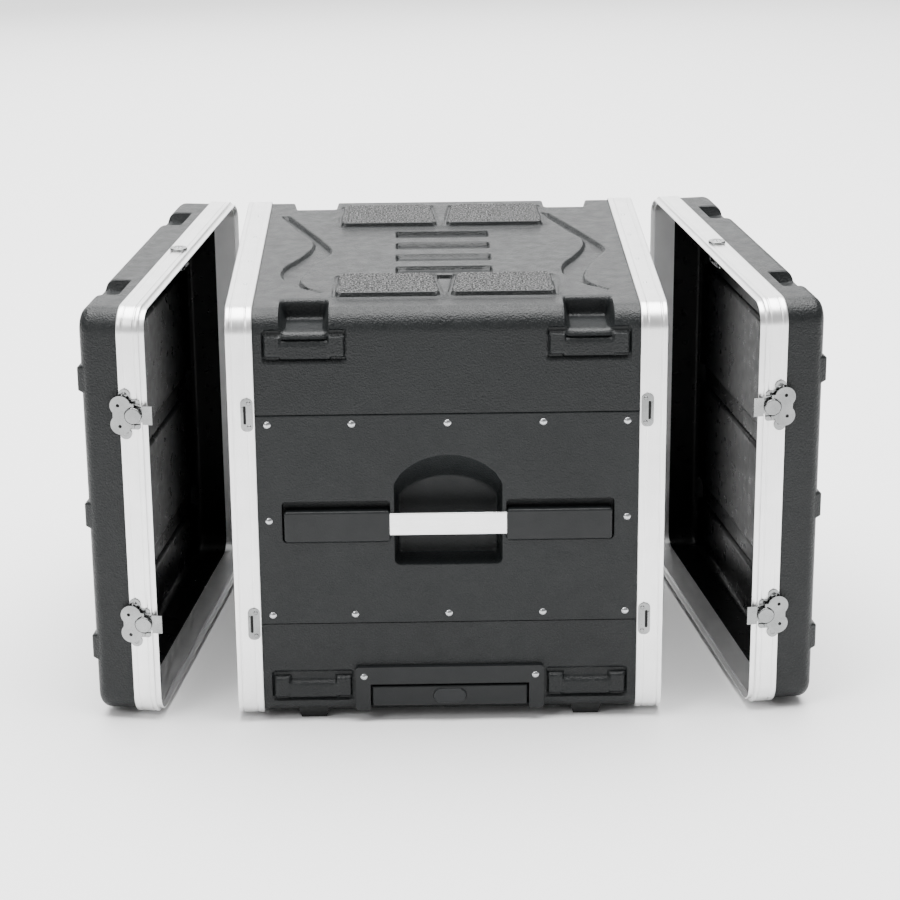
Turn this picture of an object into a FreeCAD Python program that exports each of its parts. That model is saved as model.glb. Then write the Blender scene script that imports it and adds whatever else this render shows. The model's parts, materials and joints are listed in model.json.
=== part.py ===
import FreeCAD, Part
import math
import os
import re
import Sketcher
from FreeCAD import Placement, Rotation, Vector

# Rolling equipment rack case with two lift-off covers.
# X runs from the front opening to the rear opening, Y from the near side to the far side, +Z is up.
# Everything is built about the middle of the case with Z = 0 at the bottom edge of the frames.
# At the end the whole assembly is moved so that its box stands centred on Z = 0.

SIZES = [
    ("case_depth", 530, "frame to frame, along X"),
    ("case_width", 574, "outside of the frames, along Y"),
    ("case_height", 532, "outside of the frames, along Z"),
    ("frame_band", 32.6, "frame width along X"),
    ("frame_corner", 30, "outer corner radius of the frames"),
    ("frame_inset", 9, "frame thickness"),
    ("slot_outer", 2, "inset of the slot that holds the shell edge"),
    ("slot_inner", 7, "far wall of that slot"),
    ("shell_tuck", 17, "how far a shell edge reaches into its frame"),
    ("shell_inset", 3, "shell face behind the frame face"),
    ("shell_wall", 4, "moulded wall"),
    ("flange_step", 3, "joggle of the riveted flanges"),
    ("panel_top", 400, "upper edge of the side panels"),
    ("panel_bottom", 128.4, "lower edge of the side panels"),
    ("panel_lap", 26, "overlap of panel and shell flange"),
    ("panel_face", 2, "panel face behind the frame face"),
    ("groove_outer", 3, "groove for the cover's rim"),
    ("groove_inner", 7, "inner wall of that groove"),
    ("groove_deep", 7, "depth of that groove"),
    ("rim_outer", 4, "cover rim, outer face"),
    ("rim_inner", 6, "cover rim, inner face"),
    ("rim_long", 6, "cover rim, how far it stands out"),
    ("cover_band", 28, "cover frame width"),
    ("cover_deep", 76, "opening plane to outer face of a cover"),
    ("cover_wall", 3.5, "moulded wall of a cover"),
    ("cover_round", 14, "outer edge radius of a cover"),
    ("cover_gap", 0.3, "closed gap between cover frame and case frame"),
    ("bar_tall", 35, "raised bar on a cover"),
    ("bar_proud", 6, "raised bar on a cover"),
    ("cup_half", 66, "half width of the finger cup"),
    ("cup_floor", 205.5, "lower edge of the finger cup"),
    ("cup_spring", 314, "where the arch of the cup starts"),
    ("cup_crown", 347.5, "top of the arch"),
    ("cup_deep", 35, "depth of the finger cup"),
    ("liner", 3, "wall of cups, channels and notches"),
    ("channel_end", 203, "far end of a handle channel"),
    ("channel_low", 236.5, "lower edge of a handle channel"),
    ("channel_high", 289.4, "upper edge of a handle channel"),
    ("channel_deep", 12, "depth of a handle channel"),
    ("notch_middle", 171, "stacking notches and feet, along X"),
    ("notch_half", 27, "half width of a notch"),
    ("notch_long", 56, "notch length in from the side face"),
    ("notch_deep", 24, "notch depth below the top face"),
    ("pad_rise", 6, "raised pads on the top"),
    ("foot_drop", 5, "feet below the frames"),
    ("tow_half", 117.5, "half width of the tow bezel"),
    ("tow_high", 70, "top of the tow bezel"),
    ("tow_low", 12, "bottom of the tow bezel"),
    ("grip_half", 97, "half width of the tow grip"),
    ("grip_low", 17, "bottom of the tow grip"),
    ("grip_high", 44, "top of the tow grip"),
    ("tube_middle", 82, "tow tubes, along X"),
    ("tube_height", 30, "tow tubes, along Z"),
    ("tube_radius", 7.95, "inner tow tube"),
    ("guide_bore", 8, "inner radius of a guide tube"),
    ("guide_radius", 10, "outer radius of a guide tube"),
    ("wheel_middle", 214, "wheels, along X"),
    ("wheel_back", 258, "wheel axles, along Y"),
    ("wheel_high", 29, "wheel axles, along Z"),
    ("wheel_radius", 32, "tyre"),
    ("rim_radius", 22, "wheel hub, inside the tyre"),
    ("wheel_wide", 20, "tyre"),
    ("axle_radius", 4, "wheel axle"),
    ("rail_holes", 232.55, "rack hole rows, half their spacing"),
    ("rail_bottom", 51, "lower end of the rack rails"),
    ("rail_long", 454.5, "rack rail length"),
    ("rail_face", 22, "rail face behind the opening plane"),
    ("rail_sheet", 2.5, "rack rail sheet"),
    ("rack_unit", 44.45, "one rack unit"),
    ("rack_hole", 2.4, "rack hole radius"),
    ("latch_upper", 402.5, "upper latches and keepers"),
    ("latch_lower", 130, "lower latches and keepers"),
    ("boss_back", 9.5, "turning boss behind the cover's opening plane"),
]

doc = FreeCAD.newDocument("RackCase")
sheet = doc.addObject("Spreadsheet::Sheet", "Sizes")
for row, (alias, value, note) in enumerate(SIZES, 1):
    sheet.set(f"A{row}", alias)
    sheet.set(f"B{row}", str(value))
    sheet.set(f"C{row}", note)
    sheet.setAlias(f"B{row}", alias)
doc.recompute()

ALIASES = re.compile(r"\b(" + "|".join(alias for alias, _, _ in SIZES) + r")\b")
VALUES = {alias: float(value) for alias, value, _ in SIZES}
AXES = {"x": Vector(1, 0, 0), "y": Vector(0, 1, 0), "z": Vector(0, 0, 1)}
TURNS = {"x": Rotation(AXES["y"], 90), "y": Rotation(AXES["x"], -90), "z": Rotation()}

COVER_ANGLE = {"front": 8.16, "rear": 8.33}
HINGE_Y = {"front": 440.0, "rear": 527.0}
WING_LIFT = 95.0
LATCH_SPOTS = [("near", "upper"), ("near", "lower"), ("far", "upper"), ("far", "lower")]

nodes = {}


def bind(text):
    """An expression with every alias pointing at the sheet."""
    return ALIASES.sub(r"Sizes.\1", str(text))


def place_at(obj, spot):
    for axis, text in zip("xyz", spot):
        obj.setExpression(f"Placement.Base.{axis}", bind(text))


def block(name, low, high):
    """A box between two corners, each given as three expressions."""
    obj = doc.addObject("Part::Box", name)
    for prop, a, b in zip(("Length", "Width", "Height"), low, high):
        obj.setExpression(prop, bind(f"({b}) - ({a})"))
    place_at(obj, low)
    return obj


def rod(name, axis, spot, radius, length):
    """A cylinder that starts at a spot and runs along an axis."""
    obj = doc.addObject("Part::Cylinder", name)
    obj.Placement = Placement(Vector(), TURNS[axis])
    obj.setExpression("Radius", bind(radius))
    obj.setExpression("Height", bind(length))
    place_at(obj, spot)
    return obj


def fuse(name, parts):
    obj = doc.addObject("Part::MultiFuse", name)
    obj.Shapes = parts
    return obj


def common(name, parts):
    obj = doc.addObject("Part::MultiCommon", name)
    obj.Shapes = parts
    return obj


def cut(name, base, *tools):
    obj = doc.addObject("Part::Cut", name)
    obj.Base = base
    obj.Tool = tools[0] if len(tools) == 1 else fuse(name + "Tools", list(tools))
    return obj


def compound(name, parts):
    obj = doc.addObject("Part::Compound", name)
    obj.Links = parts
    return obj


def rounded(obj, radius, choose):
    """Round the edges of a solid that the test picks."""
    doc.recompute()
    picked = [i for i, edge in enumerate(obj.Shape.Edges, 1) if choose(edge)]
    made = doc.addObject("Part::Fillet", obj.Name + "Rounded")
    made.Base = obj
    made.Edges = [(i, radius, radius) for i in picked]
    return made


def mirrored(name, source, normal):
    obj = doc.addObject("Part::Mirroring", name)
    obj.Source = source
    obj.Normal = normal
    obj.Base = Vector()
    return obj


def both_ways(name, source, normal):
    return fuse(name, [source, mirrored(name + "Twin", source, normal)])


def copies(label, source, placements):
    """A group of separate solids, one for each placement of the source."""
    doc.recompute()
    shapes = []
    for placement in placements:
        shape = source.Shape.copy()
        shape.Placement = placement.multiply(shape.Placement)
        shapes.append(shape)
    obj = doc.addObject("Part::Feature", label + "Group")
    obj.Shape = Part.makeCompound(shapes)
    return obj


def along(edge, axis):
    """True for a straight edge that runs along an axis."""
    if not isinstance(edge.Curve, Part.Line):
        return False
    return abs(abs(edge.Curve.Direction.dot(AXES[axis])) - 1) < 1e-6


def at_level(edge, axis, level):
    """True for an edge that lies wholly at one level."""
    return all(abs(vertex.Point.dot(AXES[axis]) - level) < 1e-4 for vertex in edge.Vertexes)


def add(label, obj):
    obj.Label = label
    nodes[label] = obj


def origin_plane(body, role):
    return next(plane for plane in body.Origin.OriginFeatures if plane.Role == role)


def add_loop(sketch, corners, radius):
    """Four lines and four tangent arcs round a rectangle (x0, y0, x1, y1)."""
    x0, y0, x1, y1 = corners
    r = radius
    lines = [((x0 + r, y0), (x1 - r, y0)), ((x1, y0 + r), (x1, y1 - r)),
             ((x1 - r, y1), (x0 + r, y1)), ((x0, y1 - r), (x0, y0 + r))]
    arcs = [((x1 - r, y0 + r), -90), ((x1 - r, y1 - r), 0), ((x0 + r, y1 - r), 90), ((x0 + r, y0 + r), 180)]
    for start, end in lines:
        sketch.addGeometry(Part.LineSegment(Vector(*start, 0), Vector(*end, 0)), False)
    for middle, angle in arcs:
        circle = Part.Circle(Vector(*middle, 0), AXES["z"], r)
        sketch.addGeometry(Part.ArcOfCircle(circle, math.radians(angle), math.radians(angle + 90)), False)
    for i in range(4):
        sketch.addConstraint(Sketcher.Constraint("Tangent", i, 2, 4 + i, 1))
        sketch.addConstraint(Sketcher.Constraint("Tangent", 4 + i, 2, (i + 1) % 4, 1))
    for i in (0, 2):
        sketch.addConstraint(Sketcher.Constraint("Horizontal", i))
        sketch.addConstraint(Sketcher.Constraint("Vertical", i + 1))
    for i in (5, 6, 7):
        sketch.addConstraint(Sketcher.Constraint("Equal", 4, i))


def dimension(sketch, name, kind, expression, *where):
    index = sketch.addConstraint(Sketcher.Constraint(kind, *where))
    sketch.renameConstraint(index, name)
    sketch.setExpression("Constraints." + name, bind(expression))


def prism(name, inset, start, length, end_round=0):
    """The case outline, moved in by an inset, padded along +X from a start. Its start edge may be rounded."""
    body = doc.addObject("PartDesign::Body", name)
    sketch = body.newObject("Sketcher::SketchObject", name + "Outline")
    sketch.AttachmentSupport = [(origin_plane(body, "YZ_Plane"), "")]
    sketch.MapMode = "FlatFace"
    step = VALUES.get(inset, None) if isinstance(inset, str) else inset
    if step is None:
        step = sum(VALUES[word] for word in inset.replace("+", " ").split())
    half = VALUES["case_width"] / 2 - step
    top = VALUES["case_height"] - step
    corner = max(VALUES["frame_corner"] - step, 1)
    add_loop(sketch, (-half, step, half, top), corner)
    dimension(sketch, "Corner", "Radius", f"frame_corner - ({inset})", 4, corner)
    dimension(sketch, "Wide", "DistanceX", f"case_width - 2 * ({inset})", 3, 1, 1, 1, 2 * half)
    dimension(sketch, "Half", "DistanceX", f"case_width / 2 - ({inset})", -1, 1, 1, 1, half)
    dimension(sketch, "Tall", "DistanceY", f"case_height - 2 * ({inset})", 0, 1, 2, 1, top - step)
    dimension(sketch, "Low", "DistanceY", f"{inset}", -1, 1, 0, 1, step)
    sketch.setExpression("AttachmentOffset.Base.z", bind(start))
    pad = body.newObject("PartDesign::Pad", name + "Pad")
    pad.Profile = sketch
    pad.setExpression("Length", bind(length))
    doc.recompute()
    if end_round:
        low = pad.Shape.BoundBox.XMin
        edges = [f"Edge{i}" for i, edge in enumerate(pad.Shape.Edges, 1) if at_level(edge, "x", low)]
        fillet = body.newObject("PartDesign::Fillet", name + "Round")
        fillet.Base = (pad, edges)
        fillet.setExpression("Radius", bind(end_round))
        doc.recompute()
    return body


def ring(name, outer, inner, start, length):
    """A hoop that follows the case outline between two insets."""
    return cut(name, prism(name + "Outer", outer, start, length),
               prism(name + "Inner", inner, f"({start}) - 1", f"({length}) + 2"))


def four_corners(name, make):
    """One piece and its mirror images in X and in Y."""
    pair = both_ways(name + "Pair", make, AXES["x"])
    return both_ways(name, pair, AXES["y"])


# ---------------------------------------------------------------- shells

SHELL_HALF = "(case_depth / 2 - frame_band + shell_tuck)"
CLEAR_HALF = "(case_depth / 2 - frame_band - 0.4)"
SIDE = "(case_width / 2 - shell_inset)"
PANEL_SIDE = "(case_width / 2 - panel_face)"
TOP = "(case_height - shell_inset)"


def shell_tube(name):
    outer = prism(name + "Outer", "shell_inset", f"-{SHELL_HALF}", f"2 * {SHELL_HALF}")
    inner = prism(name + "Inner", "shell_inset + shell_wall", f"-{SHELL_HALF} - 1", f"2 * {SHELL_HALF} + 2")
    return cut(name, outer, inner)


def shell_solid(name):
    return prism(name, "shell_inset", f"-{SHELL_HALF}", f"2 * {SHELL_HALF}")


def side_flanges(name, low, high):
    """The joggled strips behind the riveted panels."""
    near = block(name + "Near", (f"-{CLEAR_HALF}", f"-{SIDE} + flange_step", low),
                 (CLEAR_HALF, f"-{SIDE} + flange_step + shell_wall", high))
    return both_ways(name, near, AXES["y"])


def stack_blocks(name, low, rise):
    """A centre block with a prouder tab each side, on the side faces."""
    pieces = []
    for part, start, end, lift, proud in (("Tab", -49, -31, 4, 2.9), ("Middle", -31, 31, 0, 1.8),
                                          ("TabB", 31, 49, 4, 2.9)):
        pieces.append(block(name + part, (f"notch_middle + {start}", f"-{SIDE} - {proud}", f"{low} + {lift}"),
                            (f"notch_middle + {end}", f"-{SIDE} + 1", f"{low} + {lift} + {rise}")))
    return four_corners(name, fuse(name + "One", pieces))


def rivet_holes(name, rows, radius=2.5):
    holes = [rod(f"{name}{i}", "y", (x, "-case_width / 2 - 10", z), radius, "case_width + 20")
             for i, (x, z) in enumerate(rows)]
    return compound(name, holes)


def rail_holes(name, height):
    """Holes through the flanges for the screws that hold the rack rails."""
    spots = [(f"{sign}(case_depth / 2 - rail_face - 26)", height) for sign in ("-", "")]
    return rivet_holes(name, spots, 2.6)


RIVET_STEPS = (-218, -116, 0, 116, 218)
UPPER_RIVETS = [(x, 388.4) for x in RIVET_STEPS]
LOWER_RIVETS = [(x, 140) for x in RIVET_STEPS]
MIDDLE_RIVETS = [(-219, 264.5), (219, 264.5)]
RAIL_SCREWS = (148, 381)


def make_top_shell():
    tube = common("TopTube", [shell_tube("TopShellTube"), block(
        "TopZone", ("-case_depth", "-case_width", "panel_top + 0.2"),
        ("case_depth", "case_width", "case_height"))])
    liner = block("TopNotchLiner", ("notch_middle - notch_half - liner", f"-{SIDE}",
                                    f"{TOP} - notch_deep - liner"),
                  ("notch_middle + notch_half + liner", f"-{SIDE} + notch_long + liner", TOP))
    liners = common("TopLiners", [four_corners("TopLinerSet", liner), shell_solid("TopLinerLimit")])
    notch = block("TopNotch", ("notch_middle - notch_half", f"-{SIDE} - 5", f"{TOP} - notch_deep"),
                  ("notch_middle + notch_half", f"-{SIDE} + notch_long", f"{TOP} + 5"))
    walls = fuse("TopWalls", [tube, side_flanges("TopFlange", "panel_top - panel_lap", "panel_top + 10"),
                              liners,
                              stack_blocks("TopBlock", 470, 22)])
    pads = [trapezoid_pad(f"TopPad{i}", side, low) for i, (side, low) in
            enumerate(((-1, -222), (1, -222), (-1, 121), (1, 121)))]
    body = cut("TopShellBody", fuse("TopWithPads", [walls] + pads), four_corners("TopNotches", notch),
               rivet_holes("TopRivetHoles", UPPER_RIVETS), rail_holes("TopRailHoles", RAIL_SCREWS[1]))
    add("top_shell", body)


def trapezoid_pad(name, side, low):
    """A raised pad, longer along its near edge."""
    pad = doc.addObject("Part::Wedge", name)
    near, far = (5.5, 135), (14.5, 131)
    pad.Xmin, pad.Xmax = (near if side > 0 else (-near[1], -near[0]))
    pad.X2min, pad.X2max = (far if side > 0 else (-far[1], -far[0]))
    pad.Ymin, pad.Ymax = 0, 97
    pad.Zmin, pad.Z2min = 0, 0
    pad.setExpression("Zmax", bind("pad_rise + 1"))
    pad.setExpression("Z2max", bind("pad_rise + 1"))
    place_at(pad, (0, low, f"{TOP} - 1"))
    return pad


def wheel_pocket(name, grow):
    """The space that a wheel housing fills at the far bottom edge."""
    reach = f"(wheel_radius + 4 + {grow})"
    return block(name, (f"wheel_middle - 14.5 - {grow}", f"wheel_back - {reach}", "-20"),
                 (f"wheel_middle + 14.5 + {grow}", f"{SIDE} + 10", f"wheel_high + {reach}"))


def make_bottom_shell():
    tube = common("BottomTube", [shell_tube("BottomShellTube"), block(
        "BottomZone", ("-case_depth", "-case_width", 0), ("case_depth", "case_width", "panel_bottom - 0.2"))])
    walls = fuse("BottomWalls", [tube, side_flanges("BottomFlange", "panel_bottom - 10",
                                                    "panel_bottom + panel_lap"),
                                 stack_blocks("BottomBlock", 28, 24)])
    tray = block("TowOpening", ("-grip_half - 5", "-case_width / 2 - 10", "tow_low - 1"),
                 ("grip_half + 5", f"-{SIDE} + 28", "grip_high + 5"))
    body = cut("BottomShellBody", walls, tray, both_ways("WheelPockets", wheel_pocket("WheelPocket", 0),
                                                         AXES["x"]),
               rivet_holes("BottomRivetHoles", LOWER_RIVETS), rail_holes("BottomRailHoles", RAIL_SCREWS[0]))
    add("bottom_shell", body)


# ---------------------------------------------------------------- side panels

def cup_profile(name, grow, front, back):
    """The finger cup: straight sides under a low arch."""
    radius = "((cup_half ^ 2 + (cup_crown - cup_spring) ^ 2) / (2 * (cup_crown - cup_spring)))"
    lower = block(name + "Lower", (f"-cup_half - {grow}", front, f"cup_floor - {grow}"),
                  (f"cup_half + {grow}", back, "cup_spring"))
    disc = rod(name + "Disc", "y", (0, front, f"cup_crown - {radius}"), f"{radius} + {grow}",
               f"({back}) - ({front})")
    upper = block(name + "Upper", (f"-cup_half - {grow}", front, "cup_spring - 20"),
                  (f"cup_half + {grow}", back, f"cup_crown + {grow} + 1"))
    return fuse(name, [lower, common(name + "Arch", [disc, upper])])


def channel(name, grow, front, back):
    """The pocket for one end of the handle."""
    return block(name, (f"cup_half + 4 - {grow}", front, f"channel_low - {grow}"),
                 (f"channel_end + {grow}", back, f"channel_high + {grow}"))


def side_panel(name, turned):
    plate = block(name + "Plate", (f"-{SHELL_HALF}", f"-{PANEL_SIDE}", "panel_bottom + 0.2"),
                  (SHELL_HALF, f"-{PANEL_SIDE} + 4", "panel_top - 0.2"))
    solid = fuse(name + "Solid", [
        plate,
        cup_profile(name + "CupWall", "liner", f"-{PANEL_SIDE} + 1", f"-{PANEL_SIDE} + cup_deep + liner"),
        both_ways(name + "ChannelWalls", channel(name + "ChannelWall", "liner", f"-{PANEL_SIDE} + 1",
                                                 f"-{PANEL_SIDE} + channel_deep + liner"), AXES["x"])])
    bar_slot = block(name + "BarSlot", ("-cup_half - 5", f"-{PANEL_SIDE} - 5", 244),
                     ("cup_half + 5", f"-{PANEL_SIDE} + 3", 273.5))
    panel = cut(name + "Panel", solid, bar_slot,
                cup_profile(name + "Cup", 0, f"-{PANEL_SIDE} - 1", f"-{PANEL_SIDE} + cup_deep"),
                both_ways(name + "Channels", channel(name + "Channel", 0, f"-{PANEL_SIDE} - 1",
                                                     f"-{PANEL_SIDE} + channel_deep"), AXES["x"]),
                rivet_holes(name + "Holes", UPPER_RIVETS + LOWER_RIVETS + MIDDLE_RIVETS))
    if turned:
        panel.Placement = Placement(Vector(), Rotation(AXES["z"], 180))
    return panel


def make_side_handles():
    bar = block("HandleBar", (-125, f"-{PANEL_SIDE} - 1.5", 244.5), (125, f"-{PANEL_SIDE} + 2.5", 273))
    bar = rounded(bar, 1.2, lambda edge: along(edge, "x"))
    add("side_handle_bars", copies("side_handle_bars", bar, half_turns()))
    cover = block("EndCover", ("cup_half + 5", f"-{PANEL_SIDE} - 3.5", "channel_low + 0.2"),
                  ("channel_end - 2", f"-{PANEL_SIDE} + channel_deep - 0.2", "channel_high - 12.4"))
    cover = rounded(cover, 2.5, lambda edge: at_level(edge, "y", cover_face()))
    pocket = block("EndPocket", ("cup_half", f"-{PANEL_SIDE} - 1.7", 244.3),
                   (125.3, f"-{PANEL_SIDE} + 2.7", 273.2))
    one = cut("EndCoverOne", cover, pocket)
    pair = compound("EndCoverPair", [one, mirrored("EndCoverTwin", one, AXES["x"])])
    add("side_handle_end_covers", copies("side_handle_end_covers", pair, half_turns()))


def cover_face():
    return -(VALUES["case_width"] / 2 - VALUES["panel_face"]) - 3.5


def half_turns():
    return [Placement(), Placement(Vector(), Rotation(AXES["z"], 180))]


# ---------------------------------------------------------------- case frames and fasteners

FRAME_RIVETS = (-164, -55, 66, 179)


def make_case_frame(label, turned):
    start = "-case_depth / 2"
    hoop = ring(label + "Hoop", 0, "frame_inset", start, "frame_band")
    slot = ring(label + "Slot", "slot_outer", "slot_inner", f"{start} + frame_band - shell_tuck",
                "shell_tuck + 1")
    groove = ring(label + "Groove", "groove_outer", "groove_inner", f"{start} - 1", "groove_deep + 1")
    lines = [ring(f"{label}Line{i}", -1, 0.5, f"{start} + {x}", 1.2) for i, x in enumerate((7.5, 23.5))]
    holes = compound(label + "Holes",
                     [rod(f"{label}Hole{i}", "z", (-246, y, "case_height - slot_outer - 0.1"), 1.6, 10)
                                       for i, y in enumerate(FRAME_RIVETS)])
    frame = cut(label + "Frame", hoop, slot, groove, holes, *lines)
    if turned:
        frame.Placement = Placement(Vector(), Rotation(AXES["z"], 180))
    add(label, frame)


def make_rivet(name, head, shank, length):
    """A domed head with a shank, its head towards +Z and the seat at Z = 0."""
    rise = head * 0.45
    ball = (head ** 2 + rise ** 2) / (2 * rise)
    dome = doc.addObject("Part::Sphere", name + "Ball")
    dome.Radius = ball
    dome.Placement.Base = Vector(0, 0, rise - ball)
    seat = block(name + "Seat", (-head, -head, 0), (head, head, head))
    stem = rod(name + "Stem", "z", (0, 0, -length), shank, length + 0.5)
    return fuse(name, [common(name + "Head", [dome, seat]), stem])


def make_case_rivets():
    panel = make_rivet("PanelRivet", 4.4, 2.4, 7.5)
    short = make_rivet("PanelRivetShort", 4.4, 2.4, 3.8)
    face = VALUES["case_width"] / 2 - VALUES["panel_face"]
    spots = []
    for side in (-1, 1):
        turn = Rotation(AXES["x"], -90 * side)
        spots += [(panel, Placement(Vector(x, side * face, z), turn)) for x, z in UPPER_RIVETS + LOWER_RIVETS]
        spots += [(short, Placement(Vector(x, side * face, z), turn)) for x, z in MIDDLE_RIVETS]
    small = make_rivet("FrameRivet", 2.3, 1.55, 1.8)
    for end in half_turns():
        spots += [(small, end.multiply(Placement(Vector(-246, y, VALUES["case_height"]), Rotation())))
                  for y in FRAME_RIVETS]
    doc.recompute()
    shapes = []
    for source, placement in spots:
        shape = source.Shape.copy()
        shape.Placement = placement
        shapes.append(shape)
    group = doc.addObject("Part::Feature", "CaseRivetGroup")
    group.Shape = Part.makeCompound(shapes)
    add("case_rivets", group)


def make_keepers():
    """Each keeper is a riveted plate with a raised lip that the latch hook drops behind."""
    plate = block("KeeperPlate", (15.5, -1, -21), (31, 0, 21))
    plate = rounded(plate, 7, lambda edge: along(edge, "y"))
    lip = rounded(block("KeeperLip", (17.5, -2.5, -10.5), (19.5, -0.5, 10.5)), 0.6,
                  lambda edge: at_level(edge, "y", -2.5))
    head = make_rivet("KeeperRivet", 2.8, 1.5, 0.5)
    heads = [Placement(Vector(25.5, -1, z), Rotation(AXES["x"], 90)) for z in (-15.2, 15.2)]
    keeper = fuse("Keeper", [plate, lip, copies("KeeperRivets", head, heads)])
    spots = []
    for end in half_turns():
        for flip in (Rotation(), Rotation(AXES["x"], 180)):
            side = -1 if flip.Angle == 0 else 1
            for height in (VALUES["latch_upper"], VALUES["latch_lower"]):
                base = Vector(-VALUES["case_depth"] / 2, side * VALUES["case_width"] / 2, height)
                spots.append(end.multiply(Placement(base, flip)))
    add("latch_keepers", copies("latch_keepers", keeper, spots))


def make_feet():
    """Tapered feet that drop into the notches of a case below."""
    foot = doc.addObject("Part::Wedge", "Foot")
    foot.Xmin, foot.Xmax, foot.X2min, foot.X2max = -15.5, 15.5, -23, 23
    foot.Zmin, foot.Zmax, foot.Z2min, foot.Z2max = 235, 270, 230, 282
    foot.Ymin = 0
    foot.setExpression("Ymax", bind("foot_drop + 24"))
    foot.Placement = Placement(Vector(), Rotation(AXES["x"], 90))
    place_at(foot, ("notch_middle", 0, "-foot_drop"))
    seated = rounded(foot, 2, lambda edge: at_level(edge, "z", -VALUES["foot_drop"]))
    set_of_feet = four_corners("FeetSet", seated)
    add("stacking_feet", cut("FeetSeated", set_of_feet, shell_solid("FeetLimit"),
                             stack_blocks("FeetBlocks", 28, 24)))


# ---------------------------------------------------------------- rack rails

def make_rails():
    """Angle rails: a drilled face, and a return along the wall for the screws."""
    face = "-case_depth / 2 + rail_face"
    wall = f"({SIDE} - flange_step - shell_wall)"
    flat = block("RailFace", (face, 222.5, "rail_bottom"),
                 (f"{face} + rail_sheet", wall, "rail_bottom + rail_long"))
    web = block("RailWeb", (face, f"{wall} - rail_sheet", "rail_bottom + 26"),
                (f"{face} + 35", wall, "rail_bottom + rail_long"))
    rail = fuse("RailBlank", [flat, web])
    holes = []
    for unit in range(10):
        for step in (6.35, 22.225, 38.1):
            holes.append(rod(f"RackHole{unit}At{int(step)}", "x",
                             (f"{face} - 5", "rail_holes", f"rail_bottom + 5 + {unit} * rack_unit + {step}"),
                             "rack_hole", 15))
    screws = [rod(f"RailScrewHole{i}", "y", (f"{face} + 26", 260, z), 2.6, 30)
              for i, z in enumerate(RAIL_SCREWS)]
    rail = cut("Rail", rail, compound("RackHoles", holes), compound("RailScrewHoles", screws))
    pair = compound("RailPair", [rail, mirrored("RailTwin", rail, AXES["y"])])
    add("rack_rails", copies("rack_rails", pair, half_turns()))
    screw = make_rivet("RailScrew", 4.5, 2.5, 5.5)
    covered = VALUES["shell_inset"] + VALUES["flange_step"] + VALUES["shell_wall"]
    wall_level = VALUES["case_width"] / 2 - covered
    x = -VALUES["case_depth"] / 2 + VALUES["rail_face"] + 26
    y = wall_level - VALUES["rail_sheet"]
    spots = []
    for end in half_turns():
        for side in (-1, 1):
            for z in RAIL_SCREWS:
                spots.append(end.multiply(Placement(Vector(x, side * y, z), Rotation(AXES["x"], 90 * side))))
    add("rail_screws", copies("rail_screws", screw, spots))


# ---------------------------------------------------------------- tow handle

def tow_tubes(name, radius, start, length):
    return both_ways(name, rod(name + "One", "y", ("tube_middle", start, "tube_height"), radius, length),
                     AXES["x"])


def make_tow_handle():
    bezel = block("Bezel", ("-tow_half", f"-{SIDE} - 6", "tow_low"),
                  ("tow_half", f"-{SIDE} + 22", "tow_high"))
    bezel = rounded(bezel, 4, lambda edge: along(edge, "y"))
    window = block("BezelWindow", ("-grip_half - 2", f"-{SIDE} - 10", "-5"),
                   ("grip_half + 2", f"-{SIDE} + 30", "grip_high + 3"))
    bezel = cut("BezelOpen", bezel, window, shell_solid("BezelSeat"))
    tray_wall = block("TrayWall", ("-grip_half - 4.7", f"-{SIDE} + 1", "tow_low - 0.7"),
                      ("grip_half + 4.7", f"-{SIDE} + 27.7", "grip_high + 4.7"))
    tray_room = block("TrayRoom", ("-grip_half - 2", f"-{SIDE} - 10", "tow_low + 1.5"),
                      ("grip_half + 2", f"-{SIDE} + 25", "grip_high + 3"))
    tray = common("TrayFit", [cut("Tray", tray_wall, tray_room), shell_solid("TrayLimit")])
    screws = [rod(f"BezelHole{i}", "y", (x, f"-{SIDE} - 7", 57.5), 2.6, 30)
              for i, x in enumerate((-107, 107))]
    housing = cut("TowHousing", fuse("TowHousingWhole", [bezel, tray]),
                  tow_tubes("TrayTubeHoles", "guide_radius + 0.1", f"-{SIDE} + 20", 30),
                  compound("BezelHoles", screws))
    add("tow_housing", housing)
    screw = make_rivet("BezelScrew", 4.2, 2.4, 5.5)
    level = -(VALUES["case_width"] / 2 - VALUES["shell_inset"]) - 6
    add("tow_housing_screws", copies("tow_housing_screws", screw, [
        Placement(Vector(x, level, 57.5), Rotation(AXES["x"], 90)) for x in (-107, 107)]))
    guides = tow_tubes("GuideOutside", "guide_radius", f"-{SIDE} + 25", 450)
    saddles = [both_ways(f"Saddle{i}", block(f"SaddleBlock{i}", ("tube_middle - 14", y,
                                                                 "shell_inset + shell_wall"),
                                             ("tube_middle + 14", y + 18, "tube_height + 2")), AXES["x"])
               for i, y in enumerate((-225, -40, 150))]
    add("tow_guide_tubes", cut("Guides", fuse("GuideBlank", [guides] + saddles),
                               tow_tubes("GuideBore", "guide_bore", f"-{SIDE} + 20", 460)))
    add("tow_inner_tubes", cut("InnerTubes", tow_tubes("InnerOutside", "tube_radius", f"-{SIDE} + 7", 440),
                               tow_tubes("InnerBore", "tube_radius - 1.5", f"-{SIDE} + 14", 440)))
    grip = block("GripBlank", ("-grip_half", f"-{SIDE} - 5", "grip_low"),
                 ("grip_half", f"-{SIDE} + 7", "grip_high"))
    grip = rounded(grip, 2.5, lambda edge: at_level(edge, "y", level + 1))
    add("tow_grip", cut("Grip", grip, oval("GripPocket", 20.8, 9.8, f"-{SIDE} - 8", 11)))
    button = oval("ButtonBlank", 20.5, 9.5, f"-{SIDE} - 7", 6.5)
    add("tow_button", rounded(button, 1.5, lambda edge: at_level(edge, "y", level - 1)))


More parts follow.
